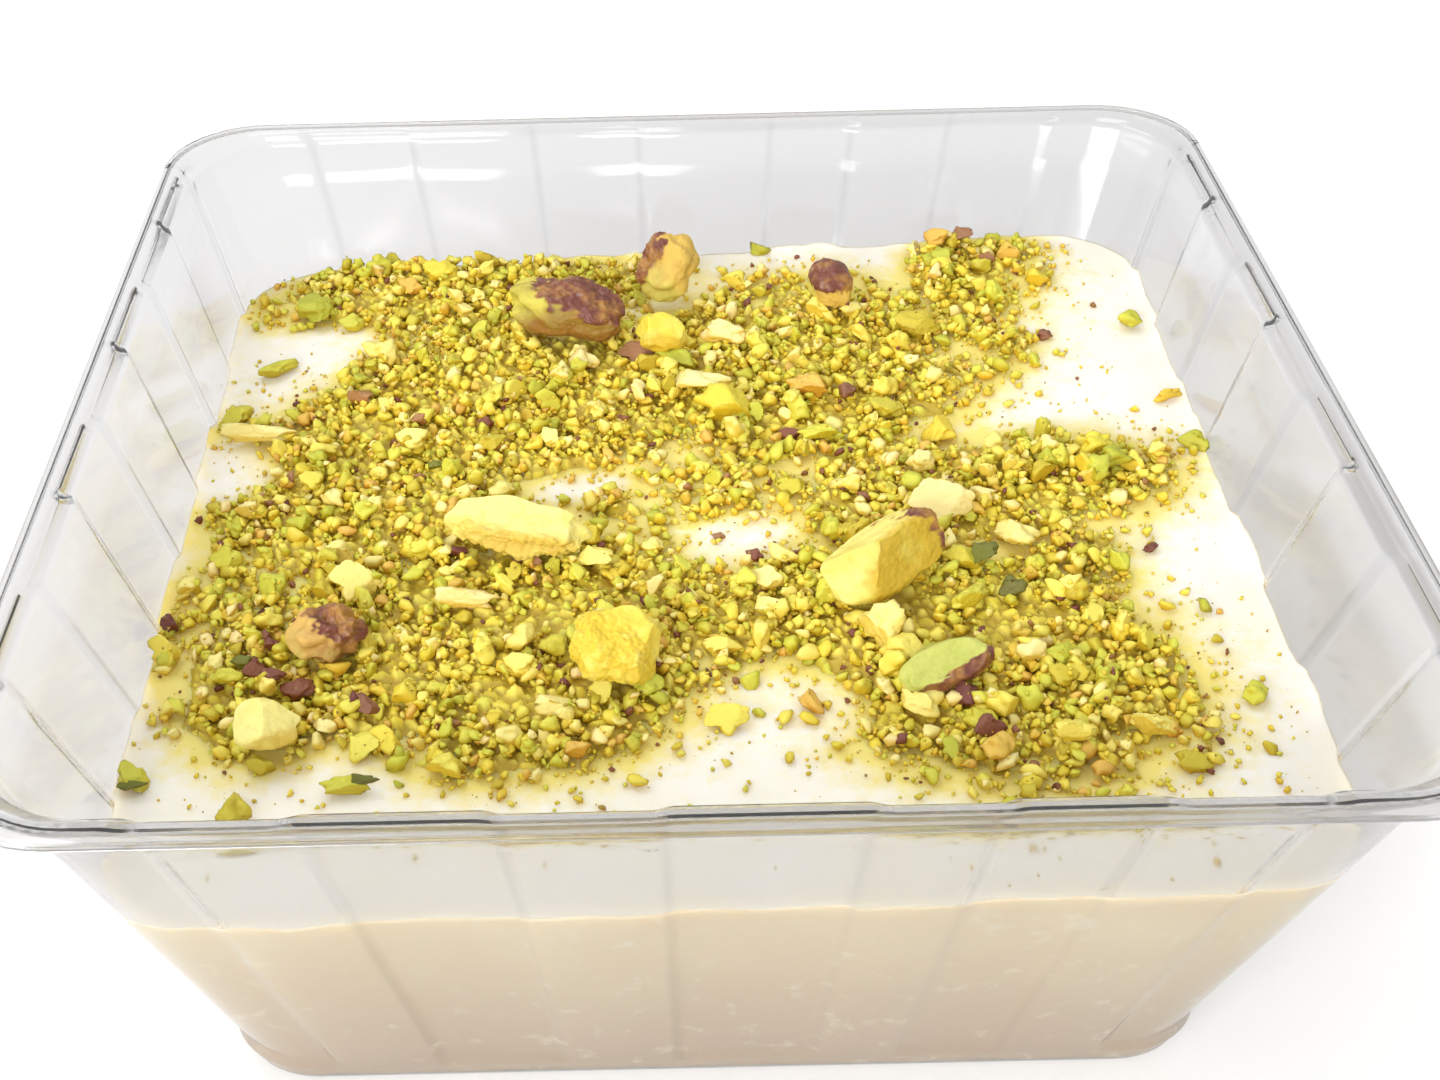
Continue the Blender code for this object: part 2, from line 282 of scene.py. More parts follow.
# %% [markdown]
# ## The tub
#
# The tub is one thin sheet of clear plastic, pressed hot over a mould. Its walls flare, upright panels
# stand in and out by turns to stiffen them, and the rim folds over into a narrow flange with a lip.
# It could be cut with Booleans or sculpted. A loft is truer to how it is pressed: one level outline,
# repeated at each height of a cross-section that runs up the inside, over the rim and down the outside.
# The outline is worked out from the wall's slope and the panels' edges, the same ones as in the solid,
# with more points on the round corners and a soft ramp at each panel's edge, so that it catches light.

# %% Sizes of the tub
_, TUB_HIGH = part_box("tub")
TUB_HEIGHT = TUB_HIGH.z
RIM_HALF = TUB_HIGH.x
BASE_HALF = 47.1 * MM
WALL_THICKNESS = 0.6 * MM
WALL_SLOPE = 0.29
FLANGE_WIDTH = 2 * MM
LIP_DEPTH = 0.9 * MM
RIM_CORNER_RADIUS = 11.5 * MM
WALL_CORNER_RADIUS = 9.5 * MM
SIDE_PANEL_EDGES = (-0.715, -0.505, -0.275, -0.065, 0.165, 0.38, 0.605, 0.815)
END_PANEL_EDGES = (-0.77, -0.56, -0.305, -0.085, 0.19, 0.36, 0.56, 0.77)
PANEL_STEP = 0.5 * MM
PANEL_FOOT = 3 * MM
PANEL_FULL_DEPTH = 4.2 * MM
PANEL_TOP = TUB_HEIGHT - 1 * MM
CORNER_SEGMENTS = 12
# A panel's edge as a share of the half width before and after its middle, and of the step's depth.
RAMP = ((-0.015, 0.0), (-0.009, 0.12), (0.0, 0.5), (0.009, 0.88), (0.015, 1.0))


def wall_half(height):
    """Half the tub's inner width at a height above the base, between its outer panels."""
    return BASE_HALF + WALL_SLOPE * height


def wall_radius(half):
    return WALL_CORNER_RADIUS * half / wall_half(PANEL_TOP)


def panel_shares(edges):
    """Where a wall has points, as shares of its half width, and how far in the panels stand there."""
    shares = []
    for number, edge in enumerate(edges):
        for along, depth in RAMP:
            shares.append((edge + along, 1 - depth if number % 2 == 0 else depth))
    return shares


SIDE_POINTS = panel_shares(SIDE_PANEL_EDGES)
END_POINTS = panel_shares(END_PANEL_EDGES)
# The walls' points in the order of the outline: right, back, left, front.
WALLS = (SIDE_POINTS, END_POINTS[::-1], SIDE_POINTS[::-1], END_POINTS)


def outline(half, radius, step):
    """A level section of the wall, anticlockwise from the right wall's front end."""
    centre = half - step - radius
    around = []
    for quarter, points in enumerate(WALLS):
        turned = Matrix.Rotation(quarter * math.pi / 2, 3, "Z")
        forward = 1 if quarter in (0, 3) else -1
        for share, inward in points:
            around.append(turned @ Vector((half - inward * step, forward * share * half, 0)))
        for turn in range(CORNER_SEGMENTS + 1):
            angle = math.pi / 2 * turn / CORNER_SEGMENTS
            offset = Vector((math.cos(angle), math.sin(angle), 0)) * radius
            around.append(turned @ (Vector((centre, centre, 0)) + offset))
    return around


def creases():
    """How near each point of the outline is to the middle of a panel's edge, from 0 to 1."""
    around = []
    for points in WALLS:
        around += [1 - abs(2 * inward - 1) for _, inward in points] + [0] * (CORNER_SEGMENTS + 1)
    return around


print(len(outline(RIM_HALF, RIM_CORNER_RADIUS, 0)), "points round the rim")

# %% The cross-section
BASE_CURVE = ((-1.6, 0), (-0.7, 0.06), (-0.1, 0.35), (0.2, 0.9), (0.3, 1.5))
LIP_ROUND = 0.12 * MM


def wall_section():
    """The tub's cross-section from the inside of the base, over the rim, to the underside of the base.

    Each row gives half the width, the height, the panels' step and the corner radius.
    """
    top = wall_half(PANEL_TOP)
    ledge = RIM_HALF - FLANGE_WIDTH
    skin = WALL_THICKNESS
    under = TUB_HEIGHT - skin
    base = wall_half(0)
    inside = [(base + out * MM, skin + up * MM, 0) for out, up in BASE_CURVE]
    inside += [(wall_half(z), z, 0) for z in (PANEL_FOOT - 0.3 * MM, PANEL_FOOT)]
    inside += [(wall_half(z), z, PANEL_STEP) for z in (PANEL_FULL_DEPTH, PANEL_FULL_DEPTH + 0.4 * MM)]
    inside += [(wall_half(z), z, PANEL_STEP) for z in np.linspace(8 * MM, PANEL_TOP - 0.5 * MM, 9)]
    inside += [
        (top, PANEL_TOP, PANEL_STEP),
        (top + 0.25 * MM, PANEL_TOP + 0.28 * MM, 0.9 * PANEL_STEP),
        (top + 0.7 * MM, PANEL_TOP + 0.45 * MM, 0.75 * PANEL_STEP),
        (ledge - 0.3 * MM, TUB_HEIGHT - 0.12 * MM, 0.5 * PANEL_STEP),
        (ledge, TUB_HEIGHT - 0.02 * MM, 0.4 * PANEL_STEP),
    ]
    rows = [(half, z, step, wall_radius(half)) for half, z, step in inside]
    rim, lip = RIM_HALF, TUB_HEIGHT - LIP_DEPTH
    for half, z in (
        (ledge + 0.5 * MM, TUB_HEIGHT),
        (rim - 3 * LIP_ROUND, TUB_HEIGHT), (rim - LIP_ROUND, TUB_HEIGHT - 0.3 * LIP_ROUND),
        (rim, TUB_HEIGHT - 1.5 * LIP_ROUND), (rim, lip + LIP_ROUND), (rim - LIP_ROUND, lip),
        (rim - skin + LIP_ROUND, lip), (rim - skin, lip + LIP_ROUND), (rim - skin, under - LIP_ROUND),
        (rim - skin - LIP_ROUND, under),
    ):
        rows.append((half, z, 0, RIM_CORNER_RADIUS - (rim - half)))
    outside = [
        (ledge + 0.1 * MM, under, 0.5 * PANEL_STEP),
        (top + 1.5 * MM, PANEL_TOP - 0.1 * MM, 0.75 * PANEL_STEP),
    ]
    outside += [(wall_half(z) + skin, z, PANEL_STEP) for z in np.linspace(PANEL_TOP - 0.7 * MM, 8 * MM, 9)]
    outside += [(wall_half(z) + skin, z, PANEL_STEP) for z in (PANEL_FULL_DEPTH + 0.4 * MM, PANEL_FULL_DEPTH)]
    outside += [(wall_half(z) + skin, z, 0) for z in (PANEL_FOOT, PANEL_FOOT - 0.3 * MM)]
    outside += [(base + skin + out * MM, up * MM, 0) for out, up in reversed(BASE_CURVE)]
    rows += [(half, z, step, wall_radius(half - skin) + skin) for half, z, step in outside]
    return rows


# %% Loft the rings
def loft(rings, name):
    """Joins rings of equal count into one closed mesh, with a flat face at both ends."""
    shape = bmesh.new()
    made = [[shape.verts.new(point) for point in ring] for ring in rings]
    for low, high in zip(made, made[1:]):
        for index in range(len(low)):
            following = (index + 1) % len(low)
            shape.faces.new((low[index], low[following], high[following], high[index]))
    shape.faces.new(made[0])
    shape.faces.new(made[-1])
    bmesh.ops.recalc_face_normals(shape, faces=shape.faces)
    mesh = bpy.data.meshes.new(name)
    shape.to_mesh(mesh)
    shape.free()
    return mesh


# %% Pieces
def add_point_values(mesh, name, values):
    """Keeps one number for every point of a mesh, for a material's Attribute node to read."""
    attribute = mesh.attributes.new(name, "FLOAT", "POINT")
    attribute.data.foreach_set("value", np.array(values, np.float32))


def add_piece(name, mesh, finish, slot, *replaced):
    """Makes an object of a mesh, gives it its finish, and lets it ride on the tub's one body."""
    mesh.materials.append(finish)
    mesh.shade_smooth()
    made = bpy.data.objects.new(name, mesh)
    bpy.context.scene.collection.objects.link(made)
    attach(made, "root")
    if replaced:
        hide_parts(*replaced)
    print(f"{name}: {sum(len(face.vertices) - 2 for face in mesh.polygons):,} triangles")
    return made


# %% [markdown]
# ### Clear plastic
#
# Clear plastic is a Principled shader with nearly full transmission. What is left is the faint haze of
# a thin sheet, and it keeps light that runs along inside the rim from going black. Pressed sheet is
# never quite even, so a slow bump bends the reflections a little. The colour is a light grey, as each
# wall takes some light. Along the panels' edges one looks through more of the sheet, so the colour
# there is painted a little darker, as painted shade: the mesh carries a value that says how near a
# point is to such an edge.

# %% Finish of the tub
PLASTIC_TINT = shade(224, 223, 223)
# Painted shade along the panels' edges, where one looks through more of the sheet.
PANEL_EDGE_SHADE = shade(215, 214, 216)
PLASTIC_IOR = 1.43
PLASTIC_HAZE = 0.02
PLASTIC_ROUGHNESS = 0.09
WAVE_LENGTH = 0.022
WAVE_DEPTH = 0.00012


def make_clear_plastic():
    made, tree, shader = new_material(
        "clear_plastic", Metallic=0.0, Roughness=PLASTIC_ROUGHNESS, IOR=PLASTIC_IOR,
        Transmission_Weight=1 - PLASTIC_HAZE)
    crease = add_node(tree, "ShaderNodeAttribute", attribute_name="crease").outputs["Fac"]
    # The colour is painted darker near the panels' edges: painted shade.
    tree.links.new(mix_colours(tree, crease, PLASTIC_TINT, PANEL_EDGE_SHADE), shader.inputs["Base Color"])
    where = add_node(tree, "ShaderNodeTexCoord").outputs["Object"]
    wave = add_node(tree, "ShaderNodeTexNoise", {"Vector": where, "Scale": 1 / WAVE_LENGTH, "Detail": 1.5})
    bump = add_node(tree, "ShaderNodeBump", {"Height": wave.outputs["Fac"], "Distance": WAVE_DEPTH})
    tree.links.new(bump.outputs["Normal"], shader.inputs["Normal"])
    return made


# %% Make the tub
def add_tub():
    rings, edges = [], []
    for half, z, step, radius in wall_section():
        rings.append([Vector((point.x, point.y, z)) for point in outline(half, radius, step)])
        edges += [near * step / PANEL_STEP for near in creases()]
    mesh = loft(rings, "tub_clear")
    add_point_values(mesh, "crease", edges)
    return add_piece("tub_clear", mesh, make_clear_plastic(), "clear_plastic", "tub")


add_tub()

# %% [markdown]
# ## The pudding
#
# The kheer was poured in warm and set. Its top is nearly level, with slow swells, faint dimples where
# grains of rice lie just under the skin, and an edge that climbs the wall by half a millimetre here
# and there. Against the plastic it fills every panel, so it is built a little way into the wall: with a
# gap of air between them, the wall would show a silver layer that no filled tub has.
# A grid with the wall's own points along its four sides can bend to the round corners and meet the
# side's rings point for point, so the whole pudding is one closed skin.

# %% Level of the pudding
LEVEL = 34 * MM
LEVEL_TIP_X = 0.026
LEVEL_TIP_Y = 0.015
LEVEL_SWELL = 0.2 * MM
SWELL_LENGTH = 13 * MM


def level(x, y):
    """Height of the pudding's top over a point of the plan: a tipped level with a slow swell."""
    swell = LEVEL_SWELL * math.sin(x / SWELL_LENGTH + 0.7) * math.cos(y / SWELL_LENGTH)
    return LEVEL + LEVEL_TIP_X * x + LEVEL_TIP_Y * y + swell


DIMPLE_LENGTH = 5 * MM
DIMPLE_DEPTH = 0.10 * MM
GRAIN_LENGTH = 2.2 * MM
GRAIN_DEPTH = 0.05 * MM


def skin_height(x, y):
    """The level with its dimples and the faint rise of rice grains near the top."""
    here = Vector((x, y, 0))
    dimples = DIMPLE_DEPTH * noise.noise(here / DIMPLE_LENGTH)
    grains = GRAIN_DEPTH * noise.noise(here / GRAIN_LENGTH + Vector((5, 1, 0)))
    return level(x, y) + dimples + grains


print("pudding's top:", round(level(-0.05, -0.05) / MM, 1), "to", round(level(0.05, 0.05) / MM, 1), "mm")

# %% Where the chopped nuts lie
# Lobes and bare spots, in millimetres: centre, half lengths, turn in degrees. The solid has the same.
HEAP_LOBES = (
    ((-28, 50), (25, 9), 2),
    ((-24, 23), (29, 18), 8),
    ((13, 28), (19, 20), -10),
    ((30, 2), (22, 10), 8),
    ((27, -26), (20, 16), -30),
    ((4, -16), (14, 9), 0),
    ((-21, -18), (28, 17), 0),
    ((-17, -30), (15, 10), 10),
    ((-36, 2), (18, 12), 0),
    ((-43, -25), (10, 11), 0),
)
CORNER_LOBES = (((39, 47), (10, 11), 20),)
BARE_SPOTS = (
    ((-46, 38), (9, 6), 0),
    ((-13, 6), (7, 3.5), 5),
    ((4, -5), (7, 5), 20),
    ((6, -33), (9, 8), 0),
)
# Here crumbs lie only one deep, beyond the solid's edge.
THIN_LOBES = (
    ((31, -12), (13, 10), 0),
    ((-48, -15), (8, 14), 0),
    ((20, 33), (19, 15), 0),
    ((0, 3), (14, 5), 0),
)
THIN_COVER = 0.1
# Here they thin out more and more towards the middle.
SPARSE_SPOTS = (
    ((-50, 31), (10, 11), 0),
    ((45, 44), (9, 11), 0),
    ((-53, 12), (6, 8), 0),
)
SPARSE_LOSS = 0.9
RAGGED = 0.22
RAGGED_LENGTH = 7 * MM


def inside_share(x, y, spot):
    """Positive inside an oval spot of the plan, 1 at its centre, and negative outside it."""
    (centre_x, centre_y), (half_x, half_y), turn = spot
    cosine, sine = math.cos(math.radians(turn)), math.sin(math.radians(turn))
    across, along = x / MM - centre_x, y / MM - centre_y
    share_x = (across * cosine + along * sine) / half_x
    share_y = (along * cosine - across * sine) / half_y
    return 1 - share_x ** 2 - share_y ** 2


def cover(x, y):
    """Positive where chopped nuts lie, with a ragged zero line round the lobes."""
    share = max(inside_share(x, y, lobe) for lobe in HEAP_LOBES + CORNER_LOBES)
    share = max(share, min(THIN_COVER, max(inside_share(x, y, lobe) for lobe in THIN_LOBES)))
    for spot in BARE_SPOTS:
        share = min(share, -inside_share(x, y, spot))
    for spot in SPARSE_SPOTS:
        share -= SPARSE_LOSS * max(0, inside_share(x, y, spot))
    return share + RAGGED * noise.noise(Vector((x, y, 0)) / RAGGED_LENGTH)


covered = [cover(x * MM, y * MM) > 0 for x in range(-56, 57, 2) for y in range(-56, 57, 2)]
print(f"chopped nuts cover {sum(covered) / len(covered):.0%} of the top")

# %% The pudding's grid
INTO_WALL = 0.18 * MM
GRID_STEP = 0.019
CORNER_LINES = (0, 0.2, 0.4, 0.58, 0.74, 0.86, 0.94, 0.98, 1)
STEP_REACH = 4 * MM


def grid_lines(points):
    """The lines of the grid across one way: a wall's own points, more between them, and the corners'.

    Each line is a share of the half width, or a share of the corner's radius, and how far in the panel
    stands there.
    """
    end = 1 - (wall_radius(wall_half(LEVEL)) + PANEL_STEP) / wall_half(LEVEL)
    known = [(-end, 1)] + list(points) + [(end, 1)]
    lines = [(-1, part, 1) for part in reversed(CORNER_LINES)]
    for (share, inward), (following, next_inward) in zip(known, known[1:]):
        pieces = max(1, round((following - share) / GRID_STEP))
        for piece in range(pieces):
            part = piece / pieces
            lines.append((share + (following - share) * part, None, inward + (next_inward - inward) * part))
    del lines[len(CORNER_LINES)]
    return lines + [(1, part, 1) for part in CORNER_LINES]


# %% Where the grid's lines cross
def line_place(line, half, radius, step):
    share, corner_part, _ = line
    if corner_part is None:
        return share * half
    return math.copysign(half - step - radius + radius * corner_part, share)


def grid_point(column, row, half, step):
    """Where a column and a row of the grid cross, for a section of the pudding of this half width."""
    radius = wall_radius(half)
    x, y = (line_place(line, half, radius, step) for line in (column, row))
    centre, edge = half - step - radius, half - step
    across, along = abs(x) - centre, abs(y) - centre
    if across > 0 and along > 0:
        reach = max(across, along)
        angle = math.pi / 4 * (along / reach if across >= along else 2 - across / reach)
        round_x, round_y = centre + reach * math.cos(angle), centre + reach * math.sin(angle)
        return math.copysign(round_x, x), math.copysign(round_y, y)
    out_x = step * (1 - row[2]) * max(0, 1 - (edge - abs(x)) / STEP_REACH)
    out_y = step * (1 - column[2]) * max(0, 1 - (edge - abs(y)) / STEP_REACH)
    return x + math.copysign(out_x, x), y + math.copysign(out_y, y)


COLUMNS, ROWS = grid_lines(END_POINTS), grid_lines(SIDE_POINTS)
print("pudding's grid:", len(COLUMNS), "by", len(ROWS))

# %% The pudding's edge on the wall
CLIMB = 0.55 * MM
CLIMB_REACH = 2.2 * MM
CLIMB_LEAST = 0.1
CLIMB_LENGTH = 7 * MM
CLIMB_FINE_LENGTH = 2.5 * MM


def climb(x, y):
    """How high the pudding clings to the wall at a place along it: a ragged line."""
    ragged = 0.6 + noise.noise(Vector((x, y, 0)) / CLIMB_LENGTH)
    ragged += 0.5 * noise.noise(Vector((x, y, 4)) / CLIMB_FINE_LENGTH)
    return CLIMB * max(CLIMB_LEAST, ragged)


def top_point(column, row):
    x, y = grid_point(column, row, wall_half(LEVEL) + INTO_WALL, PANEL_STEP)
    height = skin_height(x, y)
    x, y = grid_point(column, row, wall_half(height) + INTO_WALL, PANEL_STEP)
    off_wall = wall_half(height) - max(abs(x), abs(y))
    return Vector((x, y, height + climb(x, y) * max(0, 1 - off_wall / CLIMB_REACH) ** 2))


# %% Mesh of the pudding
# Heights of the rings up the side, as shares of the way from the panels' foot to the top.
SIDE_RINGS = (0.0, 0.02, 0.16, 0.3, 0.44, 0.58, 0.72, 0.84, 0.93, 0.98)
STAIN_REACH = 0.65


def pudding_mesh():
    """One closed skin: the grid on top, rings down the side from the grid's border, and a flat base."""
    shape = bmesh.new()
    top = [[shape.verts.new(top_point(column, row)) for row in ROWS] for column in COLUMNS]
    for left, right in zip(top, top[1:]):
        for index in range(len(ROWS) - 1):
            shape.faces.new((left[index], right[index], right[index + 1], left[index + 1]))
    last, end = len(COLUMNS) - 1, len(ROWS) - 1
    border = [(column, 0) for column in range(last)] + [(last, row) for row in range(end)]
    border += [(column, end) for column in range(last, 0, -1)] + [(0, row) for row in range(end, 0, -1)]
    rings = []
    for out, up in BASE_CURVE:
        half = wall_half(0) + out * MM + INTO_WALL
        rings.append([(*grid_point(COLUMNS[i], ROWS[j], half, 0), WALL_THICKNESS + up * MM - INTO_WALL)
                      for i, j in border])
    half = wall_half(PANEL_FOOT) + INTO_WALL
    rings.append([(*grid_point(COLUMNS[i], ROWS[j], half, 0), PANEL_FOOT) for i, j in border])
    for part in SIDE_RINGS:
        ring = []
        for i, j in border:
            height = PANEL_FULL_DEPTH + (top[i][j].co.z - PANEL_FULL_DEPTH) * part
            ring.append((*grid_point(COLUMNS[i], ROWS[j], wall_half(height) + INTO_WALL, PANEL_STEP), height))
        rings.append(ring)
    made = [[shape.verts.new(point) for point in ring] for ring in rings]
    made.append([top[i][j] for i, j in border])
    for low, high in zip(made, made[1:]):
        for index in range(len(border)):
            following = (index + 1) % len(border)
            shape.faces.new((low[index], low[following], high[following], high[index]))
    shape.faces.new(reversed(made[0]))
    shape.verts.index_update()
    # Points on the top carry 1, where the whiter top colour is painted: partly a dried skin, partly painted
    # highlight.
    on_top = {vertex for line in top for vertex in line} - set(made[-1])
    skin = [vertex in on_top for vertex in shape.verts]
    stain = [math.exp(min(0, cover(vertex.co.x, vertex.co.y)) / STAIN_REACH) for vertex in shape.verts]
    mesh = bpy.data.meshes.new("kheer_pudding")
    shape.to_mesh(mesh)
    shape.free()
    add_point_values(mesh, "top_skin_and_highlight", skin)
    add_point_values(mesh, "stain", stain)
    return mesh


# %% [markdown]
# ### Milk, skin and stain
#
# Boiled milk scatters light deep inside, so the shader's subsurface part carries the whole colour.
# Its quicker method is enough here, as the pudding is thick and nearly flat everywhere.
# The top is painted whiter than the side: partly a dried skin, partly painted highlight, as a lit top
# washes out to white. The side is warmer, a pale sand, with faint clouds where rice lies against the
# plastic, and it is painted darker towards the bottom, as painted shade. Round the nuts their oil and
# green dust have stained the skin yellow: the mesh carries a value that says how near the nuts are, and
# a noise breaks its edge up.

# %% Finish of the pudding
# The top's colours, whiter than the side: partly a dried milk skin, partly painted highlight.
SKIN_AND_HIGHLIGHT_WHITE = shade(248, 244, 234)
SKIN_AND_HIGHLIGHT_CREAM = shade(245, 240, 220)
SIDE_PALE = shade(252, 240, 208)
SIDE_DEEP = shade(248, 232, 198)
# The side turns to this darker colour towards the bottom, as painted shade.
SIDE_LOW_SHADE = shade(226, 207, 182)
STAIN_YELLOW = shade(241, 222, 104)
RICE_PALE = shade(254, 246, 222)
LOW_END = 3 * MM
HIGH_END = 30 * MM
SPECKLE_SCALE = 330.0
SPECKLE_SHARE = 1.1
STAIN_START = 0.72
STAIN_FULL = 1.3
STAIN_STRENGTH = 0.9
WRINKLE_SCALE = 450.0
WRINKLE_DEPTH = 0.08 * MM


def make_kheer():
    made, tree, shader = new_material(
        "kheer", Roughness=0.38, Subsurface_Weight=1.0, Subsurface_Radius=(1.0, 0.75, 0.45),
        Subsurface_Scale=0.0025, IOR=1.4)
    shader.subsurface_method = "BURLEY"
    skin = add_node(tree, "ShaderNodeAttribute", attribute_name="top_skin_and_highlight").outputs["Fac"]
    stain = add_node(tree, "ShaderNodeAttribute", attribute_name="stain").outputs["Fac"]
    side = place_group(tree, MOTTLE, First=SIDE_DEEP, Second=SIDE_PALE, Size=0.012, Softness=0.2)["Color"]
    where = add_node(tree, "ShaderNodeTexCoord").outputs["Object"]
    height = add_node(tree, "ShaderNodeSeparateXYZ", {"Vector": where}).outputs["Z"]
    # The side is painted darker towards the bottom: painted shade.
    side = mix_colours(tree, between(tree, height, LOW_END, HIGH_END, 1.0, 0.0), side, SIDE_LOW_SHADE)
    rice = place_group(tree, MOTTLE, First=side, Second=RICE_PALE, Size=0.003, Centre=0.68, Softness=0.08,
                       Seed=3.0)["Color"]
    milk = place_group(tree, MOTTLE, First=SKIN_AND_HIGHLIGHT_WHITE, Second=SKIN_AND_HIGHLIGHT_CREAM, Size=0.009, Softness=0.2,
                       Seed=7.0)["Color"]
    speckle = add_node(tree, "ShaderNodeTexNoise", {"Vector": where, "Scale": SPECKLE_SCALE, "Detail": 4.0,
                                                    "Roughness": 0.75}).outputs["Fac"]
    reach = calculate(tree, "ADD", stain, calculate(tree, "MULTIPLY", speckle, SPECKLE_SHARE))
    stained = between(tree, reach, STAIN_START, STAIN_FULL, 0.0, STAIN_STRENGTH)
    top = mix_colours(tree, stained, milk, STAIN_YELLOW)
    # The top is painted whiter than the side: partly a dried skin, partly painted highlight.
    tree.links.new(mix_colours(tree, skin, rice, top), shader.inputs["Base Color"])
    wrinkle = add_node(tree, "ShaderNodeTexNoise", {"Vector": where, "Scale": WRINKLE_SCALE, "Detail": 3.0})
    bump = add_node(tree, "ShaderNodeBump", {"Height": wrinkle.outputs["Fac"], "Distance": WRINKLE_DEPTH})
    tree.links.new(bump.outputs["Normal"], shader.inputs["Normal"])
    return made


add_piece("kheer_pudding", pudding_mesh(), make_kheer(), "kheer_cream", "kheer")

# %% [markdown]
# ## The large nuts
#
# Ten pieces are as large as berries: pistachio kernels, and chunks broken from them. A kernel is oval,
# green and gold inside, under a thin purple skin that wrinkles and flakes off. Where it was chopped it
# shows flat, pale faces, and where it was crushed it is crumbly and deep yellow.
# Sculpting each by hand would be slow to change, so every nut is one rule with its own numbers. A fine
# ball is made more or less boxy, cut with a few planes and dented. Then it gets relief in real
# millimetres: crumbs where the flesh is crushed, and wrinkles where the skin is left. At every point
# two values are kept for the finish: how much skin is there, and how deep the flesh's colour is.
# Last, the nut is turned, and fitted to the box of its solid.

# %% Bumps and ridges
def soft_step(value, low, high):
    """0 up to low, 1 from high, and a smooth rise between them."""
    part = max(0.0, min(1.0, (value - low) / (high - low)))
    return part * part * (3 - 2 * part)


def ridges(place, length):
    """Thin raised lines with hollows between them, from 0 to 1."""
    return 1 - min(1, 3 * abs(noise.noise(place / length)))


def crumbs_of(place, length):
    """Rounded bumps side by side, of uneven size, from 0 in the gaps to 1 on top."""
    bent = place / length + 0.5 * noise.noise_vector(place / length)
    uneven = 0.6 + 0.4 * noise.noise(place / (2.5 * length))
    return (1 - min(1, noise.voronoi(bent)[0][0] / 0.75) ** 2) * uneven


# %% Form and values of a nut
def nut_body(way, form):
    """The nut's form in a box from -1 to 1, for a direction from its middle: boxy, tapered, cut, dented."""
    power = form.get("boxy", 2.2)
    point = way / sum(abs(part) ** power for part in way) ** (1 / power)
    slim = 1 - form.get("taper", 0) * max(0, point.x) ** 2
    point = Vector((point.x, point.y * slim, point.z * slim))
    point *= 1 + form.get("lumps", 0.08) * noise.noise(way * 1.9 + Vector((form["seed"], 0, 0)))
    for normal, reach in form.get("cuts", ()):
        flat = Vector(normal).normalized()
        wavy = reach + 0.035 * noise.noise(way * 2.7 + flat * form["seed"])
        point -= flat * max(0, point.dot(flat) - wavy)
    for centre, width, depth in form.get("dents", ()):
        apart = (way - Vector(centre).normalized()).length / width
        point *= 1 - depth * math.exp(-apart * apart)
    return point


def nut_values(way, form):
    """How much skin and how deep a colour the nut has in this direction, each from 0 to 1."""
    seeded = Vector((form["seed"], 3, 0))
    ragged = 0.3 * noise.noise(way * 2.4 + seeded) + 0.22 * noise.noise(way * 6 + seeded)
    skin_way, skin_start = form.get("skin", ((0, 0, 1), 3))
    skin = soft_step(way.dot(Vector(skin_way).normalized()) + ragged, skin_start, skin_start + 0.1)
    deep_way, deep_start = form["deep"]
    blend = way.dot(Vector(deep_way).normalized()) + 0.5 * ragged
    return skin, soft_step(blend, deep_start - 0.25, deep_start + 0.3)


# %% Mesh of a nut
FINE_BALL = 6
SMALL_BALL = 5
WRINKLE_LENGTH = 1.1
CRUMB_LENGTH = 1.1


def nut_mesh(name, form):
    """A nut's mesh in the box of its node, with its skin and depth of colour. Its form is in mm."""
    shape = bmesh.new()
    bmesh.ops.create_icosphere(shape, subdivisions=form.get("detail", FINE_BALL), radius=1)
    seeded = Vector((0, form["seed"], 0))
    half = Vector(form["size"]) / 2
    turned = Euler([math.radians(turn) for turn in form["turns"]]).to_matrix()
    skins, depths = [], []
    for vertex in shape.verts:
        way = vertex.co.normalized()
        skin, deep = nut_values(way, form)
        place = Vector(a * b for a, b in zip(nut_body(way, form), half))
        outward = Vector(a / b for a, b in zip(way, half)).normalized()
        crushed = form.get("crushed", 0.25) * deep * (1 - skin)
        relief = crushed * (crumbs_of(place + seeded, CRUMB_LENGTH) - 0.5)
        relief += 0.4 * crushed * noise.noise(place / 0.4)
        relief += skin * form.get("wrinkled", 0.3) * (ridges(place + seeded, WRINKLE_LENGTH) - 0.2)
        relief += 0.06 * noise.noise(place / 1.3 + seeded)
        vertex.co = turned @ (place + outward * relief)
        skins.append(skin)
        depths.append(deep)
    low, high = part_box(form["node"])
    own = np.array([vertex.co for vertex in shape.verts])
    own_low, own_size = Vector(own.min(0)), Vector(np.ptp(own, axis=0))
    for vertex in shape.verts:
        share = [(a - b) / c for a, b, c in zip(vertex.co, own_low, own_size)]
        vertex.co = [a + (b - a) * c for a, b, c in zip(low, high, share)]
    mesh = bpy.data.meshes.new(name)
    shape.to_mesh(mesh)
    shape.free()
    add_point_values(mesh, "skin", skins)
    add_point_values(mesh, "deep", depths)
    return mesh


# %% [markdown]
# ### Nut flesh and skin
#
# One recipe serves every nut. One value blends pale flesh into deep flesh, clouds of green or yellow
# lie over both, and the other value lays the purple skin on top, glossier than the dry flesh.
# A little subsurface light makes the flesh look oily and not like painted plaster.

# %% Finish of the nuts
SKIN_PURPLE = shade(118, 66, 52)
SKIN_TAN = shade(172, 124, 58)
CLOUD_SIZE = 3.5 * MM
FLESH_ROUGHNESS = 0.6
SKIN_ROUGHNESS = 0.36


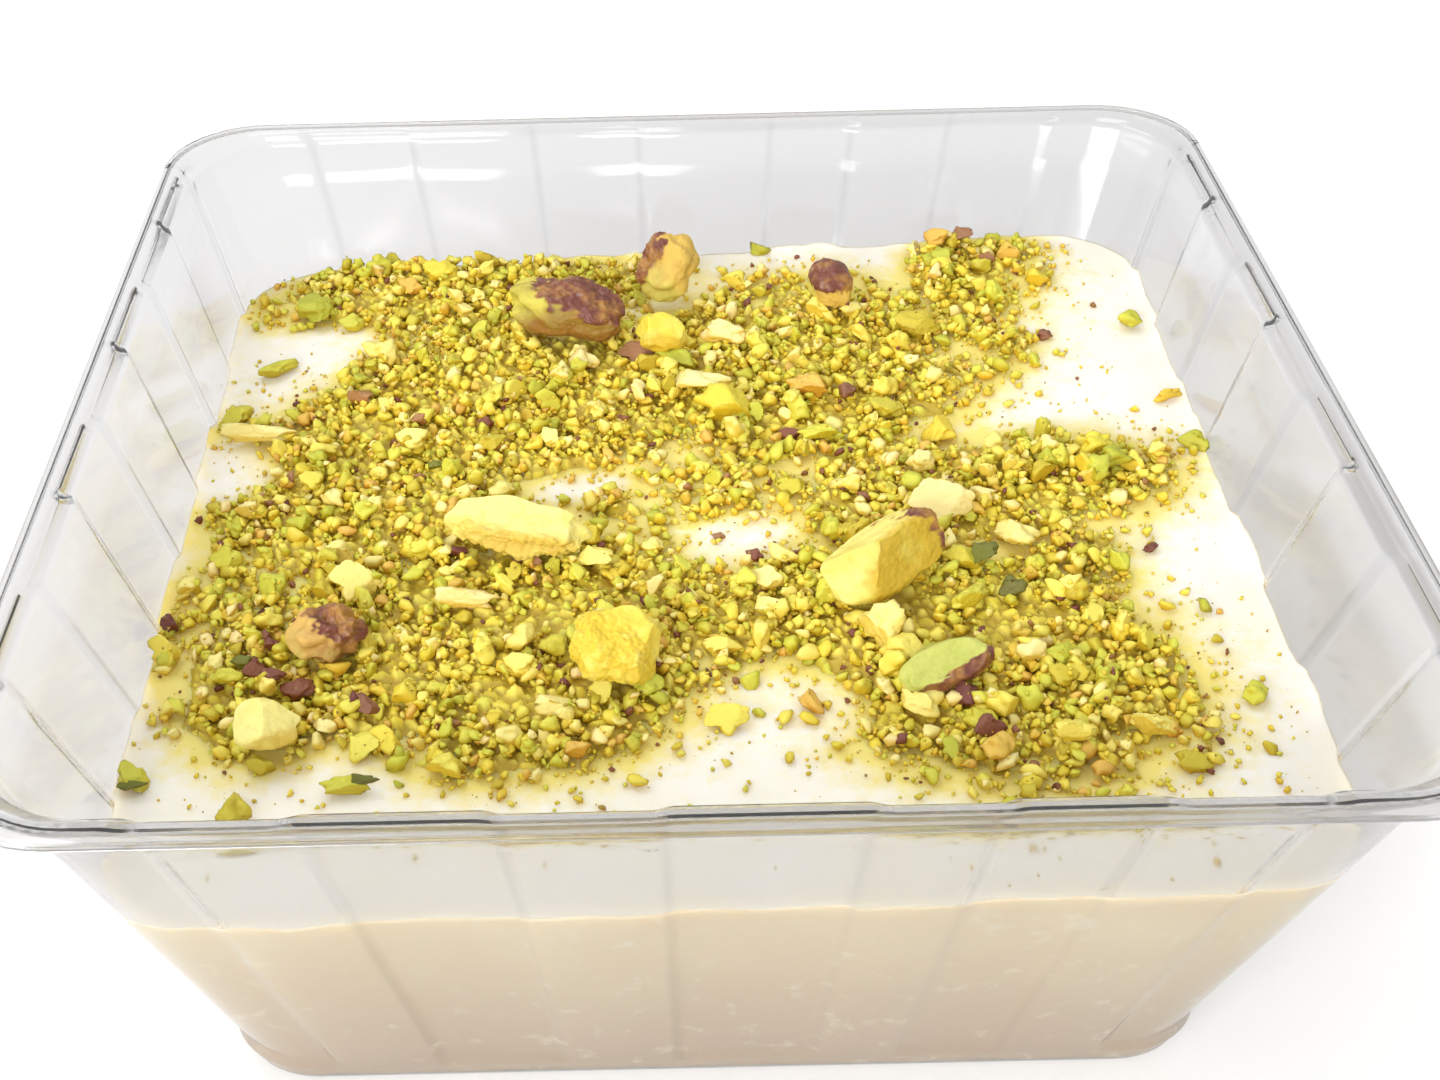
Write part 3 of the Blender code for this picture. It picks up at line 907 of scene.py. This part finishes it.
def make_nut_flesh(name, pale, deep, cloud, cloud_size=CLOUD_SIZE):
    made, tree, shader = new_material(
        name, Subsurface_Weight=0.35, Subsurface_Radius=(1.0, 0.8, 0.3), Subsurface_Scale=0.0007, IOR=1.45)
    skin = add_node(tree, "ShaderNodeAttribute", attribute_name="skin").outputs["Fac"]
    depth = add_node(tree, "ShaderNodeAttribute", attribute_name="deep").outputs["Fac"]
    relief = place_group(tree, CRUMBLED, Size=0.0006, Depth=0.00008)
    flesh = place_group(tree, MOTTLE, First=mix_colours(tree, depth, pale, deep), Second=cloud,
                        Size=cloud_size, Centre=0.6, Softness=0.12, Seed=1.0)["Color"]
    # The pits are painted up to a third of the way to the deep colour: painted shade in the hollows.
    shaded_pits = mix_colours(tree, calculate(tree, "MULTIPLY", relief["Pits"], 0.3), flesh, deep)
    hide = place_group(tree, MOTTLE, First=SKIN_PURPLE, Second=SKIN_TAN, Size=0.0026, Centre=0.54,
                       Softness=0.1, Seed=4.0)["Color"]
    tree.links.new(mix_colours(tree, skin, shaded_pits, hide), shader.inputs["Base Color"])
    rough = between(tree, skin, 0.0, 1.0, FLESH_ROUGHNESS, SKIN_ROUGHNESS)
    tree.links.new(rough, shader.inputs["Roughness"])
    tree.links.new(relief["Normal"], shader.inputs["Normal"])
    return made


# Each flesh has a pale colour, a deep one, and that of its clouds.
FLESH = {
    name: make_nut_flesh(f"nut_flesh_{name}", *(shade(*colour) for colour in colours), *cloud_size)
    for name, colours, *cloud_size in (
        # The whole kernel's deep colour is a dark brown on its right end and underside: partly the flesh's
        # own colour, partly painted shade.
        ("whole", ((206, 194, 80), (152, 108, 42), (152, 130, 50))),
        ("orange", ((206, 192, 92), (216, 180, 84), (190, 156, 72))),
        ("half", ((240, 226, 126), (200, 168, 46), (216, 200, 90))),
        ("cream", ((240, 229, 142), (214, 184, 78), (234, 218, 116))),
        ("gold", ((238, 214, 84), (224, 194, 58), (240, 222, 108)), 2 * MM),
        ("tan", ((208, 168, 90), (160, 112, 56), (196, 172, 84))),
        ("lime", ((200, 202, 104), (154, 148, 62), (182, 188, 86))),
        ("yellow", ((230, 210, 72), (214, 180, 46), (232, 218, 110))),
    )
}
print(len(FLESH), "kinds of flesh:", ", ".join(FLESH))

# %% Make the large nuts
LARGE_NUTS = {
    "nut_whole": ("whole", "nut_skin", dict(
        node="kernel_whole_skinned", size=(14.8, 9, 7.6), turns=(8, 4, -27), seed=1.0, lumps=0.22,
        dents=(((-0.86, -0.48, 0.2), 0.26, 0.4), ((-0.5, -0.85, 0.1), 0.24, 0.34),
               ((-0.4, 0.1, 1), 0.5, 0.12)),
        # Its deep colour lies towards the right end and underside, partly as painted shade.
        deep=((1, -0.4, -0.7), -0.1), skin=((0.45, 0.25, 0.85), 0.42), crushed=0.35, wrinkled=0.4)),
    "nut_leaning": ("orange", "nut_gold", dict(
        node="kernel_leaning", size=(9.6, 8, 6.6), turns=(0, -46, 66), seed=2.3, lumps=0.25, crushed=0.22,
        dents=(((0.3, 1, 0.2), 0.5, 0.14), ((0.2, -0.2, 1), 0.35, 0.12)), deep=((0.9, -0.5, 0.1), -0.2),
        skin=((0.1, 0.95, 0.35), 0.42), wrinkled=0.3)),
    "nut_half": ("half", "nut_pale", dict(
        node="kernel_half_large", size=(15.4, 9, 8.2), turns=(0, -8, 37), seed=3.9, boxy=2.5, lumps=0.14,
        cuts=(((-0.85, -0.3, 0.45), 0.74), ((-0.1, 0.5, 0.85), 0.7), ((0.15, -0.85, 0.4), 0.68)),
        dents=(((0.2, -1, 0.1), 0.3, 0.08),), deep=((0.4, -0.9, 0.05), 0.2), skin=((1, 0.1, 0.1), 0.6),
        crushed=0.22, wrinkled=0.3)),
    "nut_slab": ("cream", "nut_pale", dict(
        node="kernel_slab", size=(15.2, 7.4, 5.4), turns=(10, 3, -14), seed=5.2, boxy=2.3, lumps=0.2,
        cuts=(((0, 0.1, 1), 0.55),), dents=(((0.35, -1, 0.1), 0.3, 0.2), ((0.3, 1, 0), 0.4, 0.16)),
        deep=((-0.1, -1, -0.35), 0.2), crushed=0.8)),
    "nut_gold_chunk": ("gold", "nut_gold", dict(
        node="chunk_gold", size=(9.6, 8.4, 6.6), turns=(0, 6, -10), seed=6.4, boxy=2.3, lumps=0.2,
        cuts=(((0.2, -0.3, 0.95), 0.72), ((0.95, -0.2, 0.2), 0.76)),
        dents=(((0.1, -0.9, 0.5), 0.35, 0.2), ((-0.7, -0.6, -0.2), 0.3, 0.16), ((-0.3, -0.2, 1), 0.25, 0.12)),
        deep=((-0.4, -0.7, -0.2), -0.45), crushed=0.5)),
    "nut_skinned_chunk": ("tan", "nut_skin", dict(
        node="chunk_skinned", size=(8.2, 6.4, 5.2), turns=(0, 0, 20), seed=7.7, boxy=2.4, lumps=0.4,
        dents=(((0.15, -0.3, 1), 0.35, 0.36), ((0.5, -1, 0), 0.4, 0.26), ((-0.1, 0.2, 1), 0.2, 0.2)),
        deep=((0.6, -0.4, -0.8), 0.1), skin=((0.8, 0.2, 0.45), -0.02), wrinkled=0.25)),
    "nut_green_slice": ("lime", "nut_green", dict(
        node="slice_green", size=(9.8, 4.6, 3), turns=(16, -6, 20), seed=8.1, boxy=2.5, lumps=0.12,
        cuts=(((0, -0.2, 1), 0.6),), deep=((-0.2, 1, -0.2), 0.7), skin=((0.35, -1, -0.4), 0.3),
        wrinkled=0.15, crushed=0.15)),
    "nut_pale_chunk": ("cream", "nut_pale", dict(
        node="chunk_pale", size=(6.8, 5.8, 4.2), turns=(0, 8, 15), seed=9.5, boxy=3, lumps=0.16,
        cuts=(((0.5, -0.4, 0.75), 0.62), ((-0.7, -0.2, 0.6), 0.66), ((0.6, 0.6, 0.3), 0.8)),
        deep=((0.3, -0.8, -0.5), 0.5), detail=SMALL_BALL)),
    "nut_tip": ("orange", "nut_skin", dict(
        node="kernel_tip", size=(7.2, 5.6, 5.2), turns=(0, -28, 118), seed=11.2, lumps=0.16,
        taper=0.2, dents=(((0.9, 0.3, 0.3), 0.3, 0.1),), deep=((-1, 0, 0), 0.2),
        skin=((0.5, 0.1, 0.8), 0.1), wrinkled=0.15, detail=SMALL_BALL)),
    "nut_yellow_chunk": ("yellow", "nut_gold", dict(
        node="chunk_yellow", size=(6.6, 5, 4.2), turns=(0, 10, -8), seed=12.6, boxy=2.6, lumps=0.24,
        cuts=(((0.1, -0.5, 0.85), 0.6), ((-0.9, -0.3, 0.2), 0.72)), detail=SMALL_BALL,
        deep=((0.2, -0.8, -0.5), 0.3), crushed=0.15)),
}
for nut_name, (flesh, nut_slot, nut_form) in LARGE_NUTS.items():
    add_piece(nut_name, nut_mesh(nut_name, nut_form), FLESH[flesh], nut_slot, nut_form["node"])

# %% [markdown]
# ## The chopped nuts
#
# Chopped pistachio is thousands of crumbs, mostly finer than a grain of rice. Where they lie thick, one
# low core carries the finest of them as relief, each bump a crumb, and real loose crumbs lie on it. The
# core is a skin without an underside: its border dips into the pudding all round.
# A particle system could scatter them, but its instances belong to no mesh. Here each kind of crumb is
# one joined mesh: a few broken shapes are made once, and every crumb is a turned and stretched copy.
# So that they pile up and don't sink into each other, a map of heights is kept. Each crumb is dropped
# onto the highest thing under it, and raises the map there.

# %% The core
CORE_CELL = 0.32 * MM
CORE_SINK = 0.4 * MM
CORE_THICKNESS = 0.9 * MM
CORE_START = 0.16
CORE_END = -0.1
CORE_FADE = 0.45
CORE_RAGGED = 0.5
CORE_RAGGED_LENGTH = 3 * MM
CRUMB_BUMPS = ((1.5 * MM, 0.85 * MM), (0.8 * MM, 0.25 * MM))
CORE_WALL_GAP = 0.8 * MM


def core_share(x, y):
    """Positive where the core reaches: the cover, torn into ragged tongues and islands at its edge."""
    here = Vector((x, y, 2 * MM))
    ragged = CORE_RAGGED * noise.noise(here / CORE_RAGGED_LENGTH) + 0.15 * noise.noise(here / MM)
    return cover(x, y) - CORE_START + ragged


def relief_crumb(place):
    """The crumb of the relief at a place, in its own lengths: its height there, its tone, and the gap."""
    bent = place + 0.3 * noise.noise_vector(place)
    distances, corners = noise.voronoi(bent)
    tone = math.sin(corners[0].x * 91734.7 + corners[0].y * 51237.3) * 0.5 + 0.5
    slant = Vector((math.cos(40 * tone), math.sin(40 * tone), 0)).dot(bent - corners[0])
    body = soft_step(distances[1] - distances[0], 0.0, 0.5)
    return body * (0.55 + 0.45 * tone + 0.6 * slant), tone, 1 - body


def core_top(x, y):
    """Height of the core over a point, its tone and its gap: a thin bed of crumbs, sunk at its edge."""
    bed = CORE_THICKNESS * soft_step(core_share(x, y), CORE_END, CORE_FADE) - CORE_SINK
    tones, gaps = [], []
    for size, depth in CRUMB_BUMPS:
        height, tone, gap = relief_crumb(Vector((x, y, 0)) / size)
        bed += depth * height
        tones.append(tone)
        gaps.append(gap)
    return skin_height(x, y) + bed, tones[0], gaps[0]


# %% Mesh of the core
def core_mesh():
    """Cells of the covered part of the plan, raised, with the border sunk into the pudding."""
    reach = wall_half(LEVEL) - CORE_WALL_GAP
    cells = round(2 * reach / CORE_CELL)
    shape = bmesh.new()
    bmesh.ops.create_grid(shape, x_segments=cells, y_segments=cells, size=reach)
    bare = [vertex for vertex in shape.verts if core_share(vertex.co.x, vertex.co.y) < CORE_END]
    bmesh.ops.delete(shape, geom=bare, context="VERTS")
    bmesh.ops.triangulate(shape, faces=shape.faces)
    for _ in range(2):
        pinched = [vertex for vertex in shape.verts
                   if sum(edge.is_boundary for edge in vertex.link_edges) > 2 or not vertex.link_faces]
        bmesh.ops.delete(shape, geom=pinched, context="VERTS")
    values = {}
    for vertex in shape.verts:
        vertex.co.z, *values[vertex] = core_top(vertex.co.x, vertex.co.y)
    border = [edge for edge in shape.edges if edge.is_boundary]
    for vertex in {vertex for edge in border for vertex in edge.verts}:
        vertex.co.z = level(vertex.co.x, vertex.co.y) - 2 * CORE_SINK
    tones, gaps = zip(*(values[vertex] for vertex in shape.verts))
    mesh = bpy.data.meshes.new("crumb_core")
    shape.to_mesh(mesh)
    shape.free()
    add_point_values(mesh, "tone", tones)
    add_point_values(mesh, "gap", gaps)
    return mesh


# %% [markdown]
# ### The colours of crumbs
#
# Every crumb carries one number, its tone, and a colour ramp turns it into a colour. So one material
# gives pale flesh, gold, green and a few dark skins side by side, in the shares seen on chopped nuts.
# The sides of a crumb and the gaps of the core are painted darker and more golden than the tops, as
# painted shade: it stands for light that reaches them through their oily neighbours. Subsurface light
# in thousands of crumbs would give the same look, but far more slowly.

# %% Finish of the crumbs
LEMON = shade(231, 211, 66)
STRAW = shade(238, 222, 94)
CREAM = shade(244, 231, 152)
OLIVE = shade(202, 181, 52)
MOSS = shade(184, 184, 56)
LIME = shade(208, 208, 72)
GOLD = shade(226, 192, 62)
AMBER = shade(224, 182, 84)
TAN = shade(176, 130, 84)
BARK = shade(130, 78, 56)
PLUM = shade(112, 62, 56)
# The next two colours are painted shade: one for the gaps of the core, one for the sides of crumbs.
GAP_SHADE = shade(178, 150, 44)
SIDE_SHADE_TINT = (0.86, 0.70, 0.28, 1)
RELIEF_SIZE = 0.4 * MM


def make_crumb(name, tones, relief_depth=0, gaps=False):
    """tones lists (where the colour starts on the scale from 0 to 1, colour)."""
    made, tree, shader = new_material(name, Roughness=0.55, IOR=1.45)
    tone = add_node(tree, "ShaderNodeAttribute", attribute_name="tone").outputs["Fac"]
    ramp = add_node(tree, "ShaderNodeValToRGB", {"Fac": tone})
    stops = ramp.color_ramp.elements
    for _ in tones[2:]:
        stops.new(1.0)
    for stop, (start, colour) in zip(stops, tones):
        stop.position, stop.color = start, colour
    colour = ramp.outputs["Color"]
    # Sides and undersides are painted darker and more golden: painted shade.
    facing = add_node(tree, "ShaderNodeNewGeometry").outputs["Normal"]
    upward = add_node(tree, "ShaderNodeSeparateXYZ", {"Vector": facing}).outputs["Z"]
    shaded_side = mix_colours(tree, 1.0, colour, SIDE_SHADE_TINT, "MULTIPLY")
    colour = mix_colours(tree, between(tree, upward, -0.2, 0.8, 1.0, 0.0), colour, shaded_side)
    # The gaps of the core are painted darker and more golden: painted shade.
    if gaps:
        gap = add_node(tree, "ShaderNodeAttribute", attribute_name="gap").outputs["Fac"]
        colour = mix_colours(tree, between(tree, gap, 0.25, 0.9, 0.0, 0.9), colour, GAP_SHADE)
    if relief_depth:
        relief = place_group(tree, CRUMBLED, Size=RELIEF_SIZE, Depth=relief_depth)
        tree.links.new(relief["Normal"], shader.inputs["Normal"])
    tree.links.new(colour, shader.inputs["Base Color"])
    return made


CORE_TONES = ((0.0, OLIVE), (0.15, LEMON), (0.35, STRAW), (0.55, LIME), (0.7, LEMON), (0.85, STRAW))
core = add_piece("crumb_core", core_mesh(), make_crumb("crumb_core_finish", CORE_TONES, gaps=True),
                 "chopped_pistachio", "chopped_nuts", "chopped_nuts_corner")

# %% Broken shapes
CRUMB_SHAPES = 12


def crumb_shape(seed, detail):
    """A crumb about 1 across, as points and triangles: a ball with flat broken faces and a rough skin."""
    draw = random.Random(seed)
    shape = bmesh.new()
    bmesh.ops.create_icosphere(shape, subdivisions=detail, radius=0.5)
    cuts = [(Vector([draw.gauss(0, 1) for _ in range(3)]).normalized(), draw.uniform(0.2, 0.42))
            for _ in range(6)]
    for vertex in shape.verts:
        vertex.co *= 1 + 0.7 * noise.noise(vertex.co * 2.6 + Vector((seed, 0, 0)))
        for flat, reach in cuts:
            vertex.co -= flat * max(0, vertex.co.dot(flat) - reach)
        vertex.co *= 1 + 0.12 * noise.noise(vertex.co * 9 + Vector((0, seed, 0)))
    shape.verts.index_update()
    points = np.array([vertex.co for vertex in shape.verts])
    triangles = np.array([[vertex.index for vertex in face.verts] for face in shape.faces])
    shape.free()
    return points, triangles


FINE_SHAPES, CRUMB_SHAPE_SET, BIT_SHAPES, CHUNK_SHAPES = (
    [crumb_shape(seed + 50 * detail, detail) for seed in range(CRUMB_SHAPES)] for detail in (1, 2, 3, 4))
for shapes in (FINE_SHAPES, CRUMB_SHAPE_SET, BIT_SHAPES, CHUNK_SHAPES):
    print(len(shapes), "shapes of", len(shapes[0][1]), "triangles")

# %% The map of heights
MAP_CELL = 0.3 * MM
MAP_HALF = 62 * MM
MAP_COUNT = round(2 * MAP_HALF / MAP_CELL)


def map_index(place):
    return int((place + MAP_HALF) / MAP_CELL)


def first_heights():
    """The pudding's top, and the core where it stands above it."""
    heights = np.empty((MAP_COUNT, MAP_COUNT))
    for column in range(MAP_COUNT):
        for row in range(MAP_COUNT):
            x, y = (column + 0.5) * MAP_CELL - MAP_HALF, (row + 0.5) * MAP_CELL - MAP_HALF
            heights[column, row] = level(x, y)
    for vertex in core.data.vertices:
        column, row = map_index(vertex.co.x), map_index(vertex.co.y)
        heights[column, row] = max(heights[column, row], vertex.co.z)
    return heights


HEIGHTS = first_heights()
print("map of heights:", MAP_COUNT, "by", MAP_COUNT, "cells")

# %% Under the nuts, and onto the heap
NUT_FEET = [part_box(form["node"]) for _, _, form in LARGE_NUTS.values()]
WELL_UNDER = 0.35


def under_a_nut(x, y):
    """Whether a place is well under one of the large nuts, where no crumb would show."""
    for low, high in NUT_FEET:
        across = (x - (low.x + high.x) / 2) / (high.x - low.x) * 2
        along = (y - (low.y + high.y) / 2) / (high.y - low.y) * 2
        if across ** 2 + along ** 2 < WELL_UNDER:
            return True
    return False


def drop(x, y, size, sink):
    """Lands a crumb of this size: gives the height of its middle, and raises the map over it."""
    reach = size * 0.45
    left, right = map_index(x - reach), map_index(x + reach) + 1
    near, far = map_index(y - reach), map_index(y + reach) + 1
    patch = HEIGHTS[left:right, near:far]
    middle = patch.mean() + size * (0.5 - sink)
    across = (np.arange(left, right) + 0.5) * MAP_CELL - MAP_HALF - x
    along = (np.arange(near, far) + 0.5) * MAP_CELL - MAP_HALF - y
    inside = np.maximum(0, reach ** 2 - across[:, None] ** 2 - along[None, :] ** 2)
    np.maximum(patch, np.where(inside > 0, middle + 0.8 * np.sqrt(inside), 0), out=patch)
    return middle


# %% Joining crumbs
HIGHEST = 3.6 * MM


class Crumbs:
    """Gathers the crumbs of one kind, to be made into one mesh."""

    def __init__(self, seed):
        self.draw = random.Random(seed)
        self.points, self.triangles, self.tones, self.count = [], [], [], 0

    def add(self, shapes, x, y, lengths, turn=None, sink=0.2, tilt=0.5):
        size = (lengths[0] + lengths[1]) / 2
        middle = drop(x, y, size, sink)
        if middle - level(x, y) > HIGHEST:
            return
        points, triangles = self.draw.choice(shapes)
        turn = self.draw.uniform(0, 2 * math.pi) if turn is None else math.radians(turn)
        turned = np.array(Euler((self.draw.gauss(0, tilt), self.draw.gauss(0, tilt), turn)).to_matrix())
        self.points.append((points * np.array(lengths)) @ turned.T + (x, y, middle))
        self.triangles.append(triangles + self.count)
        self.tones.append(np.full(len(points), self.draw.random()))
        self.count += len(points)

    def mesh(self, name):
        made = bpy.data.meshes.new(name)
        made.from_pydata(np.concatenate(self.points).tolist(), [], np.concatenate(self.triangles).tolist())
        add_point_values(made, "tone", np.concatenate(self.tones))
        return made


# %% Where crumbs fall
def density(x, y, spread):
    """How likely a crumb lies at a place: full in the heap, thinning out over spread beyond it."""
    here = Vector((x, y, 9 * MM))
    clumps = 0.75 + 0.8 * noise.noise(here / (6 * MM)) + 0.6 * noise.noise(here / (1.9 * MM))
    return clumps * math.exp(min(0, cover(x, y) - 0.15) / spread)


def strew(crumbs, count, sizes, shapes, spread, sink=0.2):
    """Drops crumbs at random until count of them lie where they would: more small ones than large."""
    reach = wall_half(LEVEL) - 1.2 * MM
    draw = crumbs.draw
    while count:
        x, y = draw.uniform(-reach, reach), draw.uniform(-reach, reach)
        if draw.random() > density(x, y, spread) or under_a_nut(x, y):
            continue
        size = (sizes[0] + (sizes[1] - sizes[0]) * draw.random() ** 1.8) * MM
        lengths = [size * draw.uniform(*ends) for ends in ((0.9, 1.35), (0.75, 1), (0.65, 0.95))]
        crumbs.add(shapes, x, y, lengths, sink=sink)
        count -= 1


# %% Strew the crumbs, the finest first
fine, lemon, straw, green, pale, skins = (Crumbs(seed) for seed in (11, 22, 66, 33, 44, 55))
# How many of a kind, their sizes in mm, their shapes, and how far they spread beyond the heap.
for kind, count, sizes, shapes, spread in (
    (fine, 5000, (0.45, 1.0), FINE_SHAPES, 0.6),
    (lemon, 1000, (0.8, 1.7), CRUMB_SHAPE_SET, 0.35),
    (straw, 800, (0.9, 1.8), CRUMB_SHAPE_SET, 0.3),
    (green, 400, (0.9, 1.9), CRUMB_SHAPE_SET, 0.35),
    (pale, 280, (0.8, 1.8), CRUMB_SHAPE_SET, 0.3),
    (skins, 130, (0.6, 1.3), CRUMB_SHAPE_SET, 0.4),
    (lemon, 1300, (0.9, 2.0), CRUMB_SHAPE_SET, 0.2),
    (straw, 1100, (1.0, 2.2), CRUMB_SHAPE_SET, 0.2),
    (green, 350, (1.0, 2.4), CRUMB_SHAPE_SET, 0.2),
    (pale, 320, (1.0, 2.3), CRUMB_SHAPE_SET, 0.2),
    (straw, 80, (2.0, 3.2), BIT_SHAPES, 0.15),
    (green, 70, (2.0, 3.2), BIT_SHAPES, 0.15),
    (pale, 50, (2.0, 3.0), BIT_SHAPES, 0.15),
    (skins, 50, (0.8, 1.5), CRUMB_SHAPE_SET, 0.2),
    (fine, 1500, (0.45, 0.9), FINE_SHAPES, 0.35),
):
    strew(kind, count, sizes, shapes, spread)

LEMON_TONES = ((0.0, OLIVE), (0.2, LEMON), (0.4, GOLD), (0.55, LIME), (0.7, LEMON), (0.95, AMBER))
STRAW_TONES = ((0.0, STRAW), (0.4, LIME), (0.6, STRAW), (0.8, LEMON), (1.0, CREAM))
GREEN_TONES = ((0.0, MOSS), (0.25, LIME), (0.6, OLIVE), (0.8, LIME), (1.0, STRAW))
PALE_TONES = ((0.0, CREAM), (0.45, STRAW), (0.8, CREAM), (1.0, shade(244, 220, 150)))
SKIN_TONES = ((0.0, BARK), (0.5, PLUM), (0.85, TAN), (1.0, BARK))
FINE_TONES = (
    (0.0, GOLD), (0.2, LEMON), (0.4, OLIVE), (0.55, STRAW), (0.72, LIME), (0.9, LEMON), (0.97, BARK))
for crumb_name, crumbs, tones in (
    ("fine", fine, FINE_TONES), ("lemon", lemon, LEMON_TONES), ("straw", straw, STRAW_TONES),
    ("green", green, GREEN_TONES), ("pale", pale, PALE_TONES), ("skin", skins, SKIN_TONES),
):
    add_piece(f"crumbs_{crumb_name}", crumbs.mesh(f"crumbs_{crumb_name}"),
              make_crumb(f"crumb_{crumb_name}", tones), "chopped_pistachio")

# %% [markdown]
# ### Broken chunks
#
# Between the crumbs and the large nuts are pieces of a few millimetres. They catch the eye, so each
# has its own place. A row gives a chunk's place on the plan, its length and its width, in mm.

# %% Chunks
PALE_CHUNKS = (
    (26, -3, 5.6, 4.6), (17.5, -23, 4.8, 4), (19, -27, 3.8, 3.5), (19.5, -33, 4, 3.2),
    (40.5, -37.5, 3.6, 3.2), (-36, -12, 4.2, 3.6), (-24.5, -15.5, 6.4, 2.8), (-18.3, -22, 3.4, 2.6),
    (-18.5, -26.5, 2.8, 2.4), (-15, -32.5, 3.4, 2.8), (6.5, -14.5, 3.2, 2.4), (6, -18.5, 3.4, 2.2),
    (1.5, -23.5, 3.4, 2.6), (33, -7.5, 4.8, 2.8), (33, -39.5, 3.6, 2.6), (25, 5.5, 3, 2.6),
    (38.5, 3.5, 3.8, 2.6), (16.3, 39, 3.2, 3), (4.5, 33.5, 5.6, 3), (-13, 29, 4, 2.8),
    (-32, 13.5, 3.4, 2.8), (-16.3, 13.5, 2.6, 2.2), (-38.5, -6, 3.4, 2.2), (-11.5, -9.5, 4.8, 2.2),
    (-50.5, 17, 8.6, 2.8), (0.5, 22, 7.6, 2.6), (31, -28.5, 3, 2.4),
)
GREEN_CHUNKS = (
    (-46.5, 44.5, 5.4, 4.2), (-42, 42, 3, 2.6), (-50.5, 32, 4.2, 3), (-54, 21.5, 4.4, 3.2),
    (-50.5, -6.5, 3.4, 3), (-5, 29, 3, 2.6), (-1, 29, 4.8, 3), (10, 57, 2.8, 2.4), (28, 33.5, 5, 3.2),
    (54, 34, 3.4, 2.8), (10.5, 3, 3.2, 2.8), (45.5, 4, 4, 2.8), (43.5, 1.5, 3.4, 2.8),
    (26.5, -19, 4.6, 3.6), (36, -33, 5, 4), (25, -36, 3.4, 2.4), (34, -28, 3.6, 2.6), (27, -12, 4, 3),
    (-34.5, -21.5, 3.6, 2.8), (-6, -29.5, 3.2, 2.4), (-33.5, -35.5, 3.6, 2.6), (-25, -39, 4, 3),
    (-34, -40.5, 4, 2), (-44.5, -43, 3.6, 3.2), (-54.5, -38, 3.6, 2.4), (-43, -37, 2.8, 2.2),
    (1.5, -33, 3.8, 3), (-39.5, -12, 3, 2.6), (-38, 57, 3, 2.6), (14.5, 12, 4, 1.8),
    (22.5, 16.5, 4.2, 2.8), (-15, -23, 3, 2.4), (-23, 13, 3, 2.4), (43.5, -42, 3, 2.6),
    (56, 9, 3.4, 2.2),
)
GOLD_CHUNKS = (
    (4, 17, 6, 4.8), (14, 20.5, 4.2, 2.8), (-25.5, 54.5, 3.6, 3), (-31, 52, 4.6, 2.8),
    (33, 53, 3.4, 2.8), (42, 51.5, 2.6, 2.2), (28, 12.5, 4.8, 2.8), (51.5, -33, 2.6, 2.4),
    (26, -40, 3.2, 2.6), (12.5, -17, 3, 2.4), (-37.5, -25, 3.2, 2.6), (-47.5, -25.5, 3.6, 1.8),
    (-13, -37.5, 2.6, 2), (44, 6.5, 4, 2.6), (55, 18.5, 3.6, 1.4), (-35, 49, 3.2, 2.2),
    (9.5, -31, 3, 2), (44.5, 45, 3, 2.4),
)
SKIN_CHUNKS = (
    (-6, 32, 4.6, 3.6), (-39, 23, 3.6, 2.6), (-31.5, 18, 2.2, 2), (-24, 18, 2.2, 1.8),
    (18, 19.5, 3, 2.4), (36, 53.5, 4, 2.6), (39, 49.5, 2.4, 2), (43.5, 32.5, 2.2, 1.8),
    (11, 13, 2.8, 2.2), (-18.5, -9, 4, 1.8), (-26, -7, 3.6, 1.4), (31, -17, 2.8, 2),
    (39, -9.5, 2.2, 1.8), (24, -33, 3.4, 2.6), (25.5, -37.5, 3.2, 2.4), (-43.5, -22, 2.2, 1.8),
    (-45, -24.5, 2.4, 2.4), (-40, -28, 4, 2.6), (-33, -31, 3.4, 2.4), (-42.5, -27, 3, 1.8),
    (5.5, -9.5, 2.2, 1.8), (-55, -16.5, 2.4, 2.4), (-25, -33.5, 2, 1.6), (2, -4.5, 1.8, 1),
    (47, -9.5, 2, 1.4),
)
DARK_CHUNKS = (
    (28.5, -12, 4.6, 2.6), (31, -17.3, 2.8, 2.2), (-29, 9, 3, 1.6), (-38, 33, 3.4, 1.6),
    (-33, -40.5, 3, 1.2), (-54.5, -39.3, 2.8, 1.4), (-46, -24, 2.6, 1.6), (21, -8.5, 2, 1.4),
)
DARK_TONES = ((0.0, shade(98, 100, 34)), (0.6, shade(132, 134, 48)), (1.0, shade(76, 68, 36)))
CHUNK_KINDS = (
    ("chunks_pale", PALE_CHUNKS, PALE_TONES, 1.1), ("chunks_green", GREEN_CHUNKS, GREEN_TONES, 1.05),
    ("chunks_gold", GOLD_CHUNKS, LEMON_TONES, 1.1), ("chunks_skin", SKIN_CHUNKS, SKIN_TONES, 0.9),
    ("chunks_dark", DARK_CHUNKS, DARK_TONES, 1.0),
)
CHUNK_RELIEF = 0.06 * MM
LARGE_CHUNK = 3.5
for seed, (chunk_name, rows, tones, growth) in enumerate(CHUNK_KINDS):
    chunks = Crumbs(60 + seed)
    chunk_finish = make_crumb(chunk_name, tones, relief_depth=CHUNK_RELIEF)
    for x, y, length, width in rows:
        lengths = Vector((length, width, width * 0.8)) * MM * growth
        shapes = CHUNK_SHAPES if length > LARGE_CHUNK else BIT_SHAPES
        chunks.add(shapes, x * MM, y * MM, lengths, turn=chunks.draw.gauss(0, 25), sink=0.25, tilt=0.2)
    add_piece(chunk_name, chunks.mesh(chunk_name), chunk_finish, "chopped_pistachio")

# %% Dust
dust = Crumbs(77)
strew(dust, 4000, (0.13, 0.4), FINE_SHAPES, spread=0.8, sink=0.1)
DUST_TONES = ((0.0, OLIVE), (0.3, GOLD), (0.6, LIME), (0.8, BARK), (0.95, OLIVE))
add_piece("crumb_dust", dust.mesh("crumb_dust"), make_crumb("crumb_dust", DUST_TONES), "chopped_pistachio")
